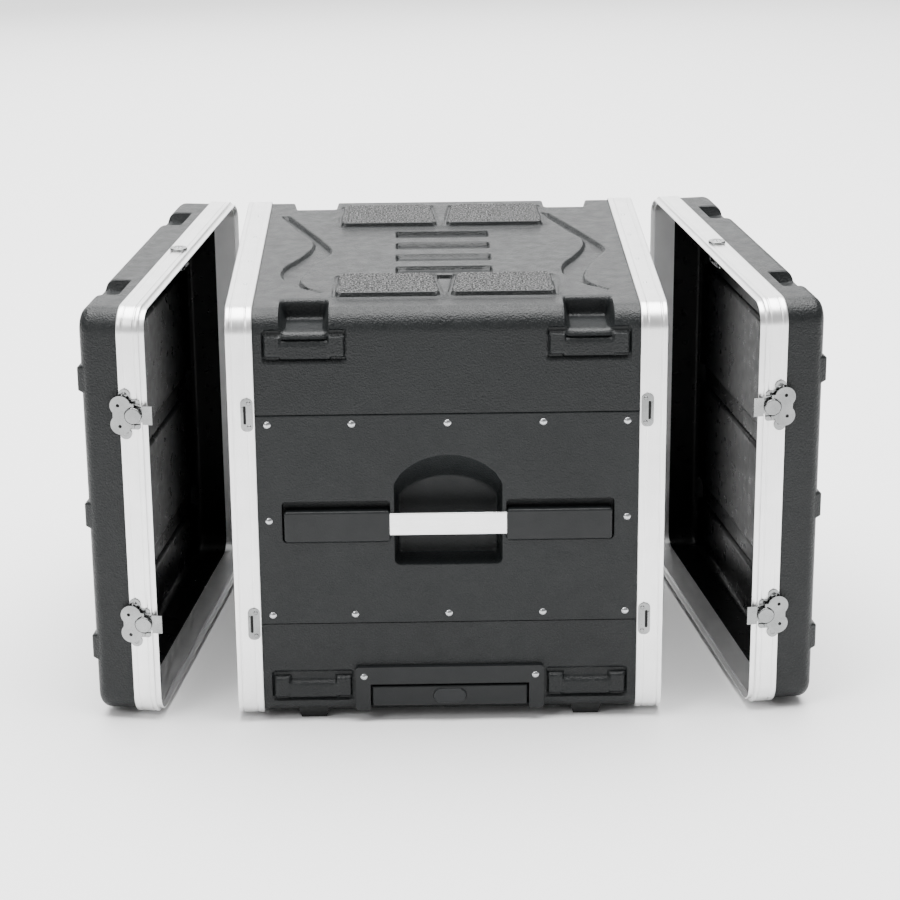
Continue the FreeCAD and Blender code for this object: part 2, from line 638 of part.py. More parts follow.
def oval(name, half_long, half_tall, start, deep):
    """A flat bar with round ends, centred on the grip."""
    middle = 30.5
    bar = block(name + "Bar", (half_tall - half_long, start, middle - half_tall),
                (half_long - half_tall, f"{start} + {deep}", middle + half_tall))
    ends = [rod(f"{name}End{i}", "y", (x, start, middle), half_tall, deep)
            for i, x in enumerate((half_tall - half_long, half_long - half_tall))]
    return fuse(name, [bar] + ends)


# ---------------------------------------------------------------- wheels

def make_wheels():
    shellwall = cut("HousingBlock", wheel_pocket("HousingOutside", "-0.3"), wheel_room("HousingRoom"))
    limit = shell_solid("HousingLimit")
    housing = common("Housing", [shellwall, limit])
    axle_bore = rod("HousingBore", "x", ("wheel_middle - 20", "wheel_back", "wheel_high"),
                    "axle_radius + 0.02", 40)
    add("wheel_housings", both_ways("Housings", cut("HousingDrilled", housing, axle_bore), AXES["x"]))
    axle = rod("Axle", "x", ("wheel_middle - 14.1", "wheel_back", "wheel_high"), "axle_radius", 28.2)
    add("wheel_axles", both_ways("Axles", axle, AXES["x"]))
    tyre = rod("TyreBlank", "x", ("wheel_middle - wheel_wide / 2", "wheel_back", "wheel_high"),
               "wheel_radius", "wheel_wide")
    tyre = rounded(tyre, 3, lambda edge: isinstance(edge.Curve, Part.Circle))
    seat = rod("TyreSeat", "x", ("wheel_middle - 20", "wheel_back", "wheel_high"), "rim_radius", 40)
    hub = rod("HubBlank", "x", ("wheel_middle - wheel_wide / 2 + 0.5", "wheel_back", "wheel_high"),
              "rim_radius",
              "wheel_wide - 1")
    dishes = [rod(f"HubDish{i}", "x", (f"wheel_middle + {x}", "wheel_back", "wheel_high"), "rim_radius - 4",
                  20)
              for i, x in enumerate((-25, 5))]
    bosses = rod("HubBoss", "x", ("wheel_middle - wheel_wide / 2", "wheel_back", "wheel_high"), 9,
                 "wheel_wide")
    bore = rod("HubBore", "x", ("wheel_middle - 20", "wheel_back", "wheel_high"), "axle_radius + 0.05", 40)
    hub = cut("Hub", fuse("HubWhole", [cut("HubDished", hub, *dishes), bosses]), bore)
    tyre = cut("Tyre", tyre, seat)
    add("right_wheel_hub", hub)
    add("right_wheel_tyre", tyre)
    add("left_wheel_hub", mirrored("LeftHub", hub, AXES["x"]))
    add("left_wheel_tyre", mirrored("LeftTyre", tyre, AXES["x"]))


def wheel_room(name):
    """The room inside a housing, open below and to the far side."""
    reach = "(wheel_radius + 1.7)"
    return block(name, ("wheel_middle - 12.2", f"wheel_back - {reach}", "-25"),
                 ("wheel_middle + 12.2", f"{SIDE} + 20", f"wheel_high + {reach}"))


# ---------------------------------------------------------------- covers

FACE = "(-case_depth / 2 - cover_gap)"
LOCK_BACK = 14.0


def cover_shell(name):
    start = f"{FACE} - cover_deep"
    length = "cover_deep - cover_band + shell_tuck"
    outer = prism(name + "Outer", "shell_inset", start, length, "cover_round")
    inner = prism(name + "Inner", "shell_inset + cover_wall", f"{start} + cover_wall", length,
                  "cover_round - cover_wall")
    bars = []
    for i, height in enumerate(COVER_BARS):
        bar = block(f"{name}Bar{i}", (f"{start} - bar_proud", "-case_width / 2 + 9",
                                      f"{height} - bar_tall / 2"),
                    (f"{start} + 3", "case_width / 2 - 9", f"{height} + bar_tall / 2"))
        bars.append(rounded(bar, 4, lambda edge: along(edge, "x")))
    bars = cut(name + "BarsTrim", fuse(name + "Bars", bars),
               prism(name + "BarCore", "shell_inset + cover_wall",
               f"{start} + cover_wall", "cover_deep", "cover_round - cover_wall"))
    notch = block(name + "Notch", (f"{start} - 5", "notch_middle - 35", f"{TOP} - 14"),
                  (f"{start} + 30", "notch_middle + 35", f"{TOP} + 5"))
    liner = block(name + "Liner", (start, "notch_middle - 35 - liner", f"{TOP} - 14 - liner"),
                  (f"{start} + 30 + liner", "notch_middle + 35 + liner", TOP))
    pair = both_ways(name + "Notches", notch, AXES["y"])
    liners = common(name + "Liners", [both_ways(name + "LinerPair", liner, AXES["y"]), outer])
    whole = fuse(name + "Whole", [cut(name + "Skin", outer, inner), bars, liners])
    lock_hole = rod(name + "LockHole", "z", (f"{FACE} - {LOCK_BACK}", 0, "case_height - 30"), 8.2, 40)
    return cut(name, whole, pair, lock_hole)


COVER_BARS = (90.5, 266, 441.5)


def cover_frame(name):
    start = f"{FACE} - cover_band"
    hoop = ring(name + "Hoop", 0, "frame_inset", start, "cover_band")
    slot = ring(name + "Slot", "slot_outer", "slot_inner", f"{start} - 1", "shell_tuck + 1")
    rim = ring(name + "Rim", "rim_outer", "rim_inner", f"{FACE} - 2", "rim_long + 2")
    lines = [ring(f"{name}Line{i}", -1, 0.5, f"{start} + {x}", 1.2) for i, x in enumerate((5.5, 20.5))]
    lock_hole = rod(name + "LockHole", "z", (f"{FACE} - {LOCK_BACK}", 0, "case_height - 30"), 8.2, 40)
    return cut(name, fuse(name + "Whole", [cut(name + "Slotted", hoop, slot), rim]), lock_hole, *lines)


def lock_body(name):
    spot = (f"{FACE} - {LOCK_BACK}", 0)
    flange = rounded(rod(name + "Flange", "z", (*spot, "case_height"), 11, 3), 1,
                     lambda edge: at_level(edge, "z", VALUES["case_height"] + 3))
    barrel = rod(name + "Barrel", "z", (*spot, "case_height - 24"), 8.1, 24)
    nut = rod(name + "Nut", "z", (*spot, "case_height - 14"), 11, 4.8)
    bore = rod(name + "Bore", "z", (*spot, "case_height - 30"), 5.05, 40)
    return cut(name, fuse(name + "Whole", [flange, barrel, nut]), bore)


def lock_cam(name):
    """Key plug, shaft and hooked cam, which turn as one."""
    x = f"{FACE} - {LOCK_BACK}"
    plug = rod(name + "Plug", "z", (x, 0, "case_height - 26.5"), 5, 29)
    slot = block(name + "Slot", (f"{x} - 0.6", -3, "case_height + 1"), (f"{x} + 0.6", 3, "case_height + 4"))
    arm = rounded(block(name + "Arm", (f"{x} - 6", -6, "case_height - 26.5"),
                        (f"{x} + 6", 30, "case_height - 24.5")),
                  3, lambda edge: along(edge, "z"))
    hook = block(name + "Hook", (f"{x} - 3", 28, "case_height - 25.5"), (f"{x} + 3", 30, "case_height - 16"))
    return fuse(name, [cut(name + "Keyed", plug, slot), arm, hook])


def make_lock_catches():
    """Plates under the case frames that the hooked cams turn behind."""
    plate = block("CatchPlate", ("-case_depth / 2 + 10", -12, "case_height - frame_inset - 2"),
                  ("-case_depth / 2 + 30", 5, "case_height - frame_inset"))
    tongue = block("CatchTongue", ("-case_depth / 2 + 10", -12, "case_height - 23"),
                   ("-case_depth / 2 + 12", 5, "case_height - frame_inset"))
    add("lock_catches", copies("lock_catches", fuse("Catch", [plate, tongue]), half_turns()))


# ---------------------------------------------------------------- twist latches

# A latch is built with its boss axis through the origin along Y, its outside towards -Y
# and its hook towards +X, on a face at Y = 0.

WING_LEVEL = -6.0


def latch_base(name):
    plate = rounded(block(name + "Plate", (-19, -1.2, -19), (8, 0, 19)), 4, lambda edge: along(edge, "y"))
    ears = [rod(f"{name}Ear{i}", "y", (-11, -1.2, z), 7.4, 1.2) for i, z in enumerate((-24.5, 24.5))]
    guides = [block(f"{name}Guide{i}", (-2, -3, z), (8, -1, z + 1.2)) for i, z in enumerate((-13.6, 12.4))]
    heads = [make_rivet(f"{name}Rivet{i}", 3.6, 2, 0.6) for i in (0, 1)]
    doc.recompute()
    for head, z in zip(heads, (-24.5, 24.5)):
        head.Placement = Placement(Vector(-11, -1.2, z), Rotation(AXES["x"], 90))
    bore = rod(name + "Bore", "y", (0, -5, 0), 3.55, 10)
    return cut(name, fuse(name + "Whole", [plate] + ears + guides + heads), bore)


def latch_rotor(name):
    disc = rounded(rod(name + "Disc", "y", (0, -8.2, 0), 10.2, 4.5), 1.4,
                   lambda edge: at_level(edge, "y", -8.2))
    shaft = rod(name + "Shaft", "y", (0, -4.5, 0), 3.5, 4.3)
    pin = rod(name + "Pin", "z", (0, WING_LEVEL, -15.2), 1, 30.4)
    return fuse(name, [disc, shaft, pin])


def latch_wing(name):
    """Two lobes joined by a waist, cut away round the boss and rolled round the pin at both ends."""
    lobes = [rod(f"{name}Lobe{i}", "y", (-15.5, -6.3, z), 12.8, 1.6) for i, z in enumerate((-11.8, 11.8))]
    web = block(name + "Web", (-25, -6.3, -14), (-8, -4.7, 14))
    ears = [block(f"{name}Ear{i}", (-14, -6.3, z), (-0.5, -4.7, z + 4.4)) for i, z in enumerate((-15.4, 11))]
    rolls = [rod(f"{name}Roll{i}", "z", (0, WING_LEVEL, z), 1.75, 4.4) for i, z in enumerate((-15.4, 11))]
    blank = common(name + "Blank", [fuse(name + "Plate", lobes + [web] + ears),
                                    block(name + "Trim", (-40, -9, -40), (0, 0, 40))])
    boss_room = rod(name + "BossRoom", "y", (0, -9, 0), 10.95, 9)
    holes = [rod(f"{name}Hole{i}", "y", (x, -9, z), 2.1, 9)
             for i, (x, z) in enumerate(((-18.3, 12.4), (-16.5, -14)))]
    pin_room = rod(name + "PinRoom", "z", (0, WING_LEVEL, -20), 1.05, 40)
    return cut(name, fuse(name + "Whole", [cut(name + "Cleared", blank, boss_room), *rolls]), *holes,
               pin_room)


def latch_hook(name):
    """A slotted strip under the boss that steps up to a wide tab with a turned-in end."""
    strip = block(name + "Strip", (-14, -2.7, -9), (12, -1.5, 9))
    step = block(name + "Step", (10.8, -4, -9), (12, -1.5, 9))
    tab = block(name + "Tab", (10.8, -4, -11.8), (23, -2.8, 11.8))
    turned = block(name + "End", (21.8, -4, -11.8), (23, -1.5, 11.8))
    slot = fuse(name + "Slot", [rod(name + "SlotA", "y", (-8.2, -5, 0), 3.7, 4),
                                rod(name + "SlotB", "y", (0, -5, 0), 3.7, 4),
                                block(name + "SlotBar", (-8.2, -5, -3.7), (0, -1, 3.7))])
    return cut(name, fuse(name + "Whole", [strip, step, tab, turned]), slot)


def latch_name(end, side, level):
    """The rear cover is the front cover turned round, so its near latches end up on the far side."""
    if end == "rear":
        side = "far" if side == "near" else "near"
    return f"{end}_{side}_{level}"


def latch_placement(side, level):
    """Where a latch sits on a closed front cover."""
    flip = Rotation() if side == "near" else Rotation(AXES["x"], 180)
    sign = -1 if side == "near" else 1
    x = -VALUES["case_depth"] / 2 - VALUES["cover_gap"] - VALUES["boss_back"]
    return Placement(Vector(x, sign * VALUES["case_width"] / 2, VALUES[f"latch_{level}"]), flip)


def cover_placement(end):
    """From the closed front cover to the cover of either end, standing open."""
    closed = Placement() if end == "front" else Placement(Vector(), Rotation(AXES["z"], 180))
    sign = -1 if end == "front" else 1
    pivot = Vector(sign * VALUES["case_depth"] / 2, HINGE_Y[end], 0)
    swing = Placement(Vector(), Rotation(AXES["z"], sign * COVER_ANGLE[end]), pivot)
    return swing.multiply(closed)


def make_cover(end):
    place = cover_placement(end)
    pieces = {"shell": cover_shell, "frame": cover_frame, "lock_body": lock_body, "lock_cam": lock_cam}
    for piece, make in pieces.items():
        obj = make(f"{end.title()}{piece.title().replace('_', '')}")
        doc.recompute()
        obj.Placement = place
        add(f"{end}_cover_{piece}", obj)
    base = latch_base(end.title() + "LatchBase")
    spots = [place.multiply(latch_placement(side, level)) for side, level in LATCH_SPOTS]
    add(f"{end}_latch_bases", copies(f"{end}_latch_bases", base, spots))
    for (side, level), spot in zip(LATCH_SPOTS, spots):
        for piece, make in (("rotor", latch_rotor), ("wing", latch_wing), ("hook", latch_hook)):
            obj = make(f"{end}{side}{level}{piece}")
            doc.recompute()
            obj.Placement = spot
            add(f"{latch_name(end, side, level)}_latch_{piece}", obj)


# ---------------------------------------------------------------- build, check, centre, export

def build():
    make_top_shell()
    make_bottom_shell()
    add("near_side_panel", side_panel("NearPanel", False))
    add("far_side_panel", side_panel("FarPanel", True))
    make_side_handles()
    make_case_frame("front_frame", False)
    make_case_frame("rear_frame", True)
    make_case_rivets()
    make_keepers()
    make_feet()
    make_rails()
    make_tow_handle()
    make_wheels()
    make_lock_catches()
    for end in ("front", "rear"):
        make_cover(end)
    doc.recompute()


def check():
    for obj in doc.Objects:
        if {"Invalid", "Error"} & set(obj.State):
            raise RuntimeError(f"{obj.Name} failed: {obj.State}")
    for label, obj in nodes.items():
        if obj.Shape.isNull() or not obj.Shape.isValid():
            raise RuntimeError(f"{label} has no valid shape")


def centring_shift():
    """The move that stands the assembly's box centred on Z = 0."""
    box = FreeCAD.BoundBox()
    for obj in nodes.values():
        box.add(obj.Shape.optimalBoundingBox(False, False))
    return Vector(-(box.XMin + box.XMax) / 2, -(box.YMin + box.YMax) / 2, -box.ZMin)


def export(shift):
    os.makedirs("parts", exist_ok=True)
    for label, obj in nodes.items():
        obj.Placement = Placement(shift, Rotation()).multiply(obj.Placement)
        obj.Shape.exportStep(os.path.join("parts", label + ".step"))


build()
check()
SHIFT = centring_shift()
export(SHIFT)
print(f"{len(nodes)} parts, moved by {SHIFT.x:.3f}, {SHIFT.y:.3f}, {SHIFT.z:.3f}")
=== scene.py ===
import json
import math

import bmesh
import bpy
import numpy as np
from mathutils import Matrix, Vector, geometry

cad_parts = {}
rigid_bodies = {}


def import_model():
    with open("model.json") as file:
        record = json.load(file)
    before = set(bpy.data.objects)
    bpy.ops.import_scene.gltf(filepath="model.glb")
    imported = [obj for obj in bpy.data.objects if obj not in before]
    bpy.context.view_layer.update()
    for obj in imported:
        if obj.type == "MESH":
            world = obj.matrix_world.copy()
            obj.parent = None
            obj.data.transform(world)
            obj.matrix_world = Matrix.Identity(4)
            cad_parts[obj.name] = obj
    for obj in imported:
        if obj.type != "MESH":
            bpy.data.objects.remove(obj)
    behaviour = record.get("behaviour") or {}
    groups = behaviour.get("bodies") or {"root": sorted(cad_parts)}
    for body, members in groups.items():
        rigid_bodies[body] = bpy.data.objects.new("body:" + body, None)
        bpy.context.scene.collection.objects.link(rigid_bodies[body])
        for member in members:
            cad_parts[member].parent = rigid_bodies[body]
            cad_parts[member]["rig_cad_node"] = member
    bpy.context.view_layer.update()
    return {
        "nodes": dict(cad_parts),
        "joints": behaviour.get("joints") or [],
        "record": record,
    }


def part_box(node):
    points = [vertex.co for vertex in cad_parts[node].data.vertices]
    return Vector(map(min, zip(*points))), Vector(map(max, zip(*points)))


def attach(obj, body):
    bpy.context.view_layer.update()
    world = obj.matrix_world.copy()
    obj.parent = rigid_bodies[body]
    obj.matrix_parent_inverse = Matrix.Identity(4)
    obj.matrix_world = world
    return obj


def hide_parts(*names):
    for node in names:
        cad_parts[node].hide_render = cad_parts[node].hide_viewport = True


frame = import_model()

JOINTS = {joint["name"]: joint for joint in frame["joints"]}
BODY_OF = {node: body for body, nodes in frame["record"]["behaviour"]["bodies"].items() for node in nodes}
ENDS, LEVELS = ("front", "rear"), ("upper", "lower")

# Lengths below are in millimetres about the middle of the case, with Z = 0 at the bottom of its frames,
# X from the front opening to the rear one and the near side towards -Y.
SIDE, TOP, BOTTOM = 284.0, 529.0, 3.0
HALF_WIDTH, HEIGHT = 287.0, 532.0
HALF_DEPTH = 265.0
CORNER = 27.0
SHELL_HALF = 249.4
PANEL_TOP, PANEL_BOTTOM = 399.7, 128.7
PANEL_FACE = 285.0
NOTCH_X = 171.0
BLOCK_X = 170.5

# Wall thicknesses in metres, as the modifiers take them.
SHELL_WALL, PANEL_WALL, COVER_WALL = 0.0036, 0.002, 0.0033


def datum():
    """The middle of the case at the bottom of its frames, in metres."""
    low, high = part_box("front_frame")
    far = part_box("rear_frame")[1]
    return Vector(((low.x + far.x) / 2, (low.y + high.y) / 2, low.z))


CASE = Matrix.Translation(datum()) @ Matrix.Scale(0.001, 4)
HALF_TURN = Matrix.Rotation(math.pi, 4, "Z")


def cover_matrix(end):
    """From the closed front cover, in millimetres, to the cover of either end as it stands open."""
    joint = JOINTS[f"{end}_cover_close"]
    pivot = Matrix.Translation(Vector(joint["pos_m"]))
    swing = Matrix.Rotation(-math.radians(joint["range_deg"][1]), 4, Vector(joint["axis"]))
    closed = CASE if end == "front" else CASE @ HALF_TURN
    return pivot @ swing @ pivot.inverted() @ closed


# ---------------------------------------------------------------- mesh helpers

def ease(value, width):
    """0 where the value is below zero, 1 where it is above the width, smooth in between."""
    t = np.clip(np.asarray(value, float) / width, 0, 1)
    return t * t * (3 - 2 * t)


def ruled(*spans):
    """Coordinates along a line, with a step for each (start, end, step) span."""
    parts = []
    for start, end, step in spans:
        count = max(1, round(abs(end - start) / step))
        parts.append(np.linspace(start, end, count + 1)[:-1])
    parts.append(np.array([spans[-1][1]]))
    return np.concatenate(parts)


def arc(centre, radius, start, end, count):
    """Points round part of a circle, angles in degrees."""
    angles = np.radians(np.linspace(start, end, count + 1))
    return np.stack([centre[0] + radius * np.cos(angles), centre[1] + radius * np.sin(angles)], 1)


def along(points, fractions):
    """Points at fractions of a polyline's length."""
    points = np.asarray(points, float)
    lengths = np.concatenate([[0], np.cumsum(np.linalg.norm(np.diff(points, axis=0), axis=1))])
    where = np.asarray(fractions) * lengths[-1]
    return np.stack([np.interp(where, lengths, points[:, i]) for i in (0, 1)], 1)


def curve_through(points, where):
    """A smooth curve x(y) through (x, y) points."""
    x, y = np.array(sorted(points, key=lambda p: p[1])).T
    slopes = np.gradient(x, y)
    i = np.clip(np.searchsorted(y, where) - 1, 0, len(y) - 2)
    h = y[i + 1] - y[i]
    t = np.clip((where - y[i]) / h, 0, 1)
    return ((1 + 2 * t) * (1 - t) ** 2 * x[i] + t * (1 - t) ** 2 * h * slopes[i]
            + t * t * (3 - 2 * t) * x[i + 1] + t * t * (t - 1) * h * slopes[i + 1])


def mark_edges(mesh, angle):
    """Smooth faces, with edges sharper than the angle left crisp."""
    bm = bmesh.new()
    bm.from_mesh(mesh)
    for face in bm.faces:
        face.smooth = True
    for edge in bm.edges:
        edge.smooth = len(edge.link_faces) != 2 or edge.calc_face_angle(0) < math.radians(angle)
    bm.to_mesh(mesh)
    bm.free()


def make_object(name, verts, faces, matrix, materials):
    """A mesh object whose points are baked into the row frame, in metres."""
    mesh = bpy.data.meshes.new(name)
    mesh.from_pydata([tuple(v) for v in verts], [], [tuple(int(i) for i in f) for f in faces])
    mesh.transform(matrix)
    obj = bpy.data.objects.new(name, mesh)
    bpy.context.scene.collection.objects.link(obj)
    for material in materials:
        mesh.materials.append(material)
    return obj


def apply_modifiers(obj):
    """Put an object's modified mesh in place of its own."""
    graph = bpy.context.evaluated_depsgraph_get()
    mesh = bpy.data.meshes.new_from_object(obj.evaluated_get(graph))
    obj.modifiers.clear()
    old, obj.data = obj.data, mesh
    bpy.data.meshes.remove(old)


def modify(obj, kind, **settings):
    """Add one modifier and apply it."""
    modifier = obj.modifiers.new(kind.title(), kind)
    for key, value in settings.items():
        setattr(modifier, key, value)
    apply_modifiers(obj)


def hand_over(obj, node):
    """Let a piece stand for a CAD node and ride with the node's body."""
    modify(obj, "WEIGHTED_NORMAL", keep_sharp=True)
    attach(obj, BODY_OF[node])
    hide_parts(node)


def publish(obj, node, sharp=40):
    """Finish a mesh, with edges over so many degrees crisp, and let it stand for a CAD node."""
    mark_edges(obj.data, sharp)
    hand_over(obj, node)


def thicken(obj, thickness, rim_material):
    """Give a surface a wall, with the second material on its inner side."""
    modify(obj, "SOLIDIFY", thickness=thickness, offset=-1, material_offset=1,
           material_offset_rim=rim_material)


def grid_faces(rows, columns, keep=None):
    """Quads of a grid of points stored row by row. keep picks the cells to make."""
    i, j = np.meshgrid(np.arange(rows - 1), np.arange(columns - 1), indexing="ij")
    if keep is not None:
        i, j = i[keep], j[keep]
    a = (i * columns + j).ravel()
    return np.stack([a, a + 1, a + columns + 1, a + columns], 1)


def joined(parts):
    """One list of points and faces from several."""
    verts, faces = [], []
    for part_verts, part_faces in parts:
        start = len(verts)
        verts.extend(tuple(v) for v in part_verts)
        faces.extend(tuple(i + start for i in f) for f in part_faces)
    return verts, faces


def moved(part, matrix):
    """The same part under a matrix."""
    verts, faces = part
    return [tuple(matrix @ Vector(v)) for v in verts], faces


# ---------------------------------------------------------------- materials

BLOTCHES, GLOSS_CLOUDS, FAINT_WAVES = 9, 60, 14
PEBBLE_HEIGHT, FINE_HEIGHT, WAVE_HEIGHT, LINE_HEIGHT, DUST_HEIGHT = 0.0006, 0.0004, 0.002, 0.0002, 0.0001


def new_material(name):
    """An empty material, its nodes, their links and the shader."""
    material = bpy.data.materials.new(name)
    material.use_nodes = True
    nodes = material.node_tree.nodes
    return material, nodes, material.node_tree.links, nodes["Principled BSDF"]


def noise(nodes, links, scale, detail=3, stretch=None):
    """A noise texture in the row frame's metres, stretched along some axes if asked."""
    coords = nodes.new("ShaderNodeTexCoord")
    texture = nodes.new("ShaderNodeTexNoise")
    texture.inputs["Scale"].default_value = scale
    texture.inputs["Detail"].default_value = detail
    source = coords.outputs["Object"]
    if stretch:
        mapping = nodes.new("ShaderNodeMapping")
        mapping.inputs["Scale"].default_value = stretch
        links.new(source, mapping.inputs["Vector"])
        source = mapping.outputs["Vector"]
    links.new(source, texture.inputs["Vector"])
    return texture.outputs["Fac"]


def ramp(nodes, links, source, low, high, start=0.3, end=0.7):
    """A colour that runs from low to high as the source runs from start to end."""
    node = nodes.new("ShaderNodeValToRGB")
    node.color_ramp.elements[0].position = start
    node.color_ramp.elements[1].position = end
    node.color_ramp.elements[0].color = (*low, 1)
    node.color_ramp.elements[1].color = (*high, 1)
    links.new(source, node.inputs["Fac"])
    return node.outputs["Color"]


def span(nodes, links, source, low, high):
    """A value that runs from low to high over the middle of a noise's range."""
    node = nodes.new("ShaderNodeMapRange")
    node.inputs["From Min"].default_value = 0.3
    node.inputs["From Max"].default_value = 0.7
    node.inputs["To Min"].default_value = low
    node.inputs["To Max"].default_value = high
    links.new(source, node.inputs["Value"])
    return node.outputs["Result"]


def bump(nodes, links, heights, shader):
    """Bumps laid over one another. Each height is (source, strength, distance in metres)."""
    previous = None
    for source, strength, distance in heights:
        node = nodes.new("ShaderNodeBump")
        node.inputs["Strength"].default_value = strength
        node.inputs["Distance"].default_value = distance
        links.new(source, node.inputs["Height"])
        if previous:
            links.new(previous, node.inputs["Normal"])
        previous = node.outputs["Normal"]
    links.new(previous, shader.inputs["Normal"])


def plastic(name, dark, light, rough, grain, strength, painted_glint=0.0, gloss=0.27):
    """Moulded plastic with a pebbled grain, faint blotches, pale flecks painted on as glints off the grain,
    and slightly uneven gloss.
    """
    material, nodes, links, shader = new_material(name)
    colour = ramp(nodes, links, noise(nodes, links, BLOTCHES, 4), dark, light)
    if painted_glint:
        mix = nodes.new("ShaderNodeMix")
        mix.data_type, mix.blend_type = "RGBA", "ADD"
        mix.inputs["Factor"].default_value = 1.0
        # Pale flecks added to the colour: painted glints off the grain's bumps.
        painted_glints = noise(nodes, links, grain * 1.5, 1)
        painted_glints = ramp(nodes, links, painted_glints, (0, 0, 0), (painted_glint,) * 3, 0.49, 0.62)
        links.new(colour, mix.inputs[6])
        links.new(painted_glints, mix.inputs[7])
        colour = mix.outputs[2]
    links.new(colour, shader.inputs["Base Color"])
    shader.inputs["Specular IOR Level"].default_value = gloss
    clouds = noise(nodes, links, GLOSS_CLOUDS)
    links.new(span(nodes, links, clouds, rough - 0.05, rough + 0.06), shader.inputs["Roughness"])
    pebbles = nodes.new("ShaderNodeTexVoronoi")
    pebbles.feature = "SMOOTH_F1"
    pebbles.inputs["Scale"].default_value = grain
    coords = nodes.new("ShaderNodeTexCoord")
    links.new(coords.outputs["Object"], pebbles.inputs["Vector"])
    fine = noise(nodes, links, grain * 2.2, 2)
    waves = noise(nodes, links, FAINT_WAVES, 2)
    heights = [(pebbles.outputs["Distance"], strength, PEBBLE_HEIGHT), (fine, strength * 0.7, FINE_HEIGHT),
               (waves, 0.1 * min(strength, 1), WAVE_HEIGHT)]
    bump(nodes, links, heights, shader)
    return material


def metal(name, dark, light, rough, scratch, direction):
    """Satin metal with fine lines along one direction and a little cloudiness."""
    material, nodes, links, shader = new_material(name)
    shader.inputs["Metallic"].default_value = 1.0
    lines = noise(nodes, links, 1, 4, direction)
    cloud = noise(nodes, links, 30)
    links.new(ramp(nodes, links, cloud, dark, light), shader.inputs["Base Color"])
    links.new(span(nodes, links, lines, rough - 0.07, rough + 0.07), shader.inputs["Roughness"])
    dust = noise(nodes, links, 900, 2)
    bump(nodes, links, [(lines, scratch, LINE_HEIGHT), (dust, scratch * 0.6, DUST_HEIGHT)], shader)
    return material


# A plastic's sixth value after its name, where given, is how bright its painted glints are.
SHELL = plastic("stippled_shell", (0.0040, 0.0050, 0.0054), (0.0060, 0.0074, 0.0078), 0.40, 480, 1.0, 0.007)
PANEL = plastic("stippled_panel", (0.0046, 0.0058, 0.0062), (0.0066, 0.0082, 0.0086), 0.40, 560, 0.8, 0.005)
PADS = plastic("grained_pads", (0.001, 0.0012, 0.0013), (0.002, 0.0023, 0.0025), 0.6, 300, 1.0, 0.16, 0.08)
LINING = plastic("smooth_lining", (0.0008, 0.0010, 0.0011), (0.0015, 0.0018, 0.0020), 0.3, 300, 0.05,
                 0.0, 0.16)
MOULDED = plastic("moulded_trim", (0.0065, 0.0075, 0.0080), (0.0090, 0.0102, 0.0108), 0.38, 900, 0.3)
RELEASE = plastic("release_button", (0.010, 0.011, 0.012), (0.014, 0.0155, 0.0165), 0.36, 1100, 0.2)
WHEEL = plastic("wheel_plastic", (0.020, 0.021, 0.023), (0.028, 0.029, 0.031), 0.5, 1000, 0.25)
TYRE = plastic("tyre_rubber", (0.006, 0.006, 0.0065), (0.010, 0.010, 0.0105), 0.7, 700, 0.5)
FOOT = plastic("foot_rubber", (0.006, 0.0065, 0.0065), (0.010, 0.0105, 0.0105), 0.6, 900, 0.4)
COATED = plastic("powder_coat", (0.006, 0.0063, 0.0066), (0.010, 0.0105, 0.011), 0.45, 1500, 0.4)
ALUMINIUM = metal("satin_aluminium", (0.86, 0.86, 0.86), (0.93, 0.93, 0.93), 0.36, 0.25, (900, 25, 25))
BRUSHED = metal("brushed_bar", (0.86, 0.86, 0.86), (0.94, 0.94, 0.94), 0.3, 0.5, (12, 1400, 1400))
NICKEL = metal("satin_nickel", (0.20, 0.205, 0.205), (0.30, 0.305, 0.305), 0.24, 0.25, (420, 420, 420))
ZINC = metal("zinc_steel", (0.40, 0.41, 0.42), (0.56, 0.57, 0.58), 0.24, 0.2, (500, 500, 500))
TUBE = metal("anodised_tube", (0.62, 0.63, 0.64), (0.70, 0.71, 0.72), 0.34, 0.3, (900, 25, 900))


# ---------------------------------------------------------------- moulded shells

PLATEAU, PAD_STEP, MOAT_DEEP, BAND_DEEP, SLOT_DEEP = 3.3, 2.6, 2.2, 5.0, 5.0
PADS_NEAR = {"near": -222, "far": -130, "near_span": (5.5, 135), "far_span": (14.5, 132)}
PADS_FAR = {"near": 121, "far": 225, "near_span": (5, 135.5), "far_span": (14, 132)}
BAND_INNER = [(-205, 186), (-177, 108), (-155, 44), (-143, -8), (-156, -47), (-175, -114), (-177, -151),
              (-163, -184), (-149, -198)]
BAND_OUTER = [(-218, 190), (-200, 136), (-184, 86), (-170, 50), (-170, 19), (-185, -36), (-202, -79),
              (-205, -103), (-198, -141), (-185, -165), (-152, -199)]
BAND_SHIFT = 352
BAND_ENDS = (-199, 187)
PLATEAU_HALF, PLATEAU_BEFORE, PLATEAU_AFTER, PLATEAU_ROUND, PLATEAU_SLOPE = 146, 12, 15, 22, 13
MOAT_WIDE = 4.6
PAD_EDGE, BAND_EDGE, SLOT_EDGE, NUB_EDGE = 2.2, 3.0, 2.4, 2.0
SLOT_ROWS = 4
SLOT_AREA = (-127, 110)
SLOT_HALF, SLOT_HALF_WIDE = 61, 17


def rounded_inside(across, lengthwise, radius):
    """How far a point is inside a shape, from its distance inside two pairs of sides."""
    return radius - np.hypot(np.maximum(radius - across, 0), np.maximum(radius - lengthwise, 0))


def pad_inside(x, y, pad, grow=0.0, radius=8.0):
    """How far a point is inside one of a row's two pads, whose sides lean."""
    t = np.clip((y - pad["near"]) / (pad["far"] - pad["near"]), 0, 1)
    inner = pad["near_span"][0] + t * (pad["far_span"][0] - pad["near_span"][0])
    outer = pad["near_span"][1] + t * (pad["far_span"][1] - pad["near_span"][1])
    across = np.minimum(outer + grow - np.abs(x), np.abs(x) - inner + grow)
    return rounded_inside(across, np.minimum(y - pad["near"] + grow, pad["far"] + grow - y), radius)


def block_inside(x, y, half_x, low, high, radius):
    """How far a point is inside a rounded block centred on X = 0."""
    return rounded_inside(half_x - np.abs(x), np.minimum(y - low, high - y), radius)


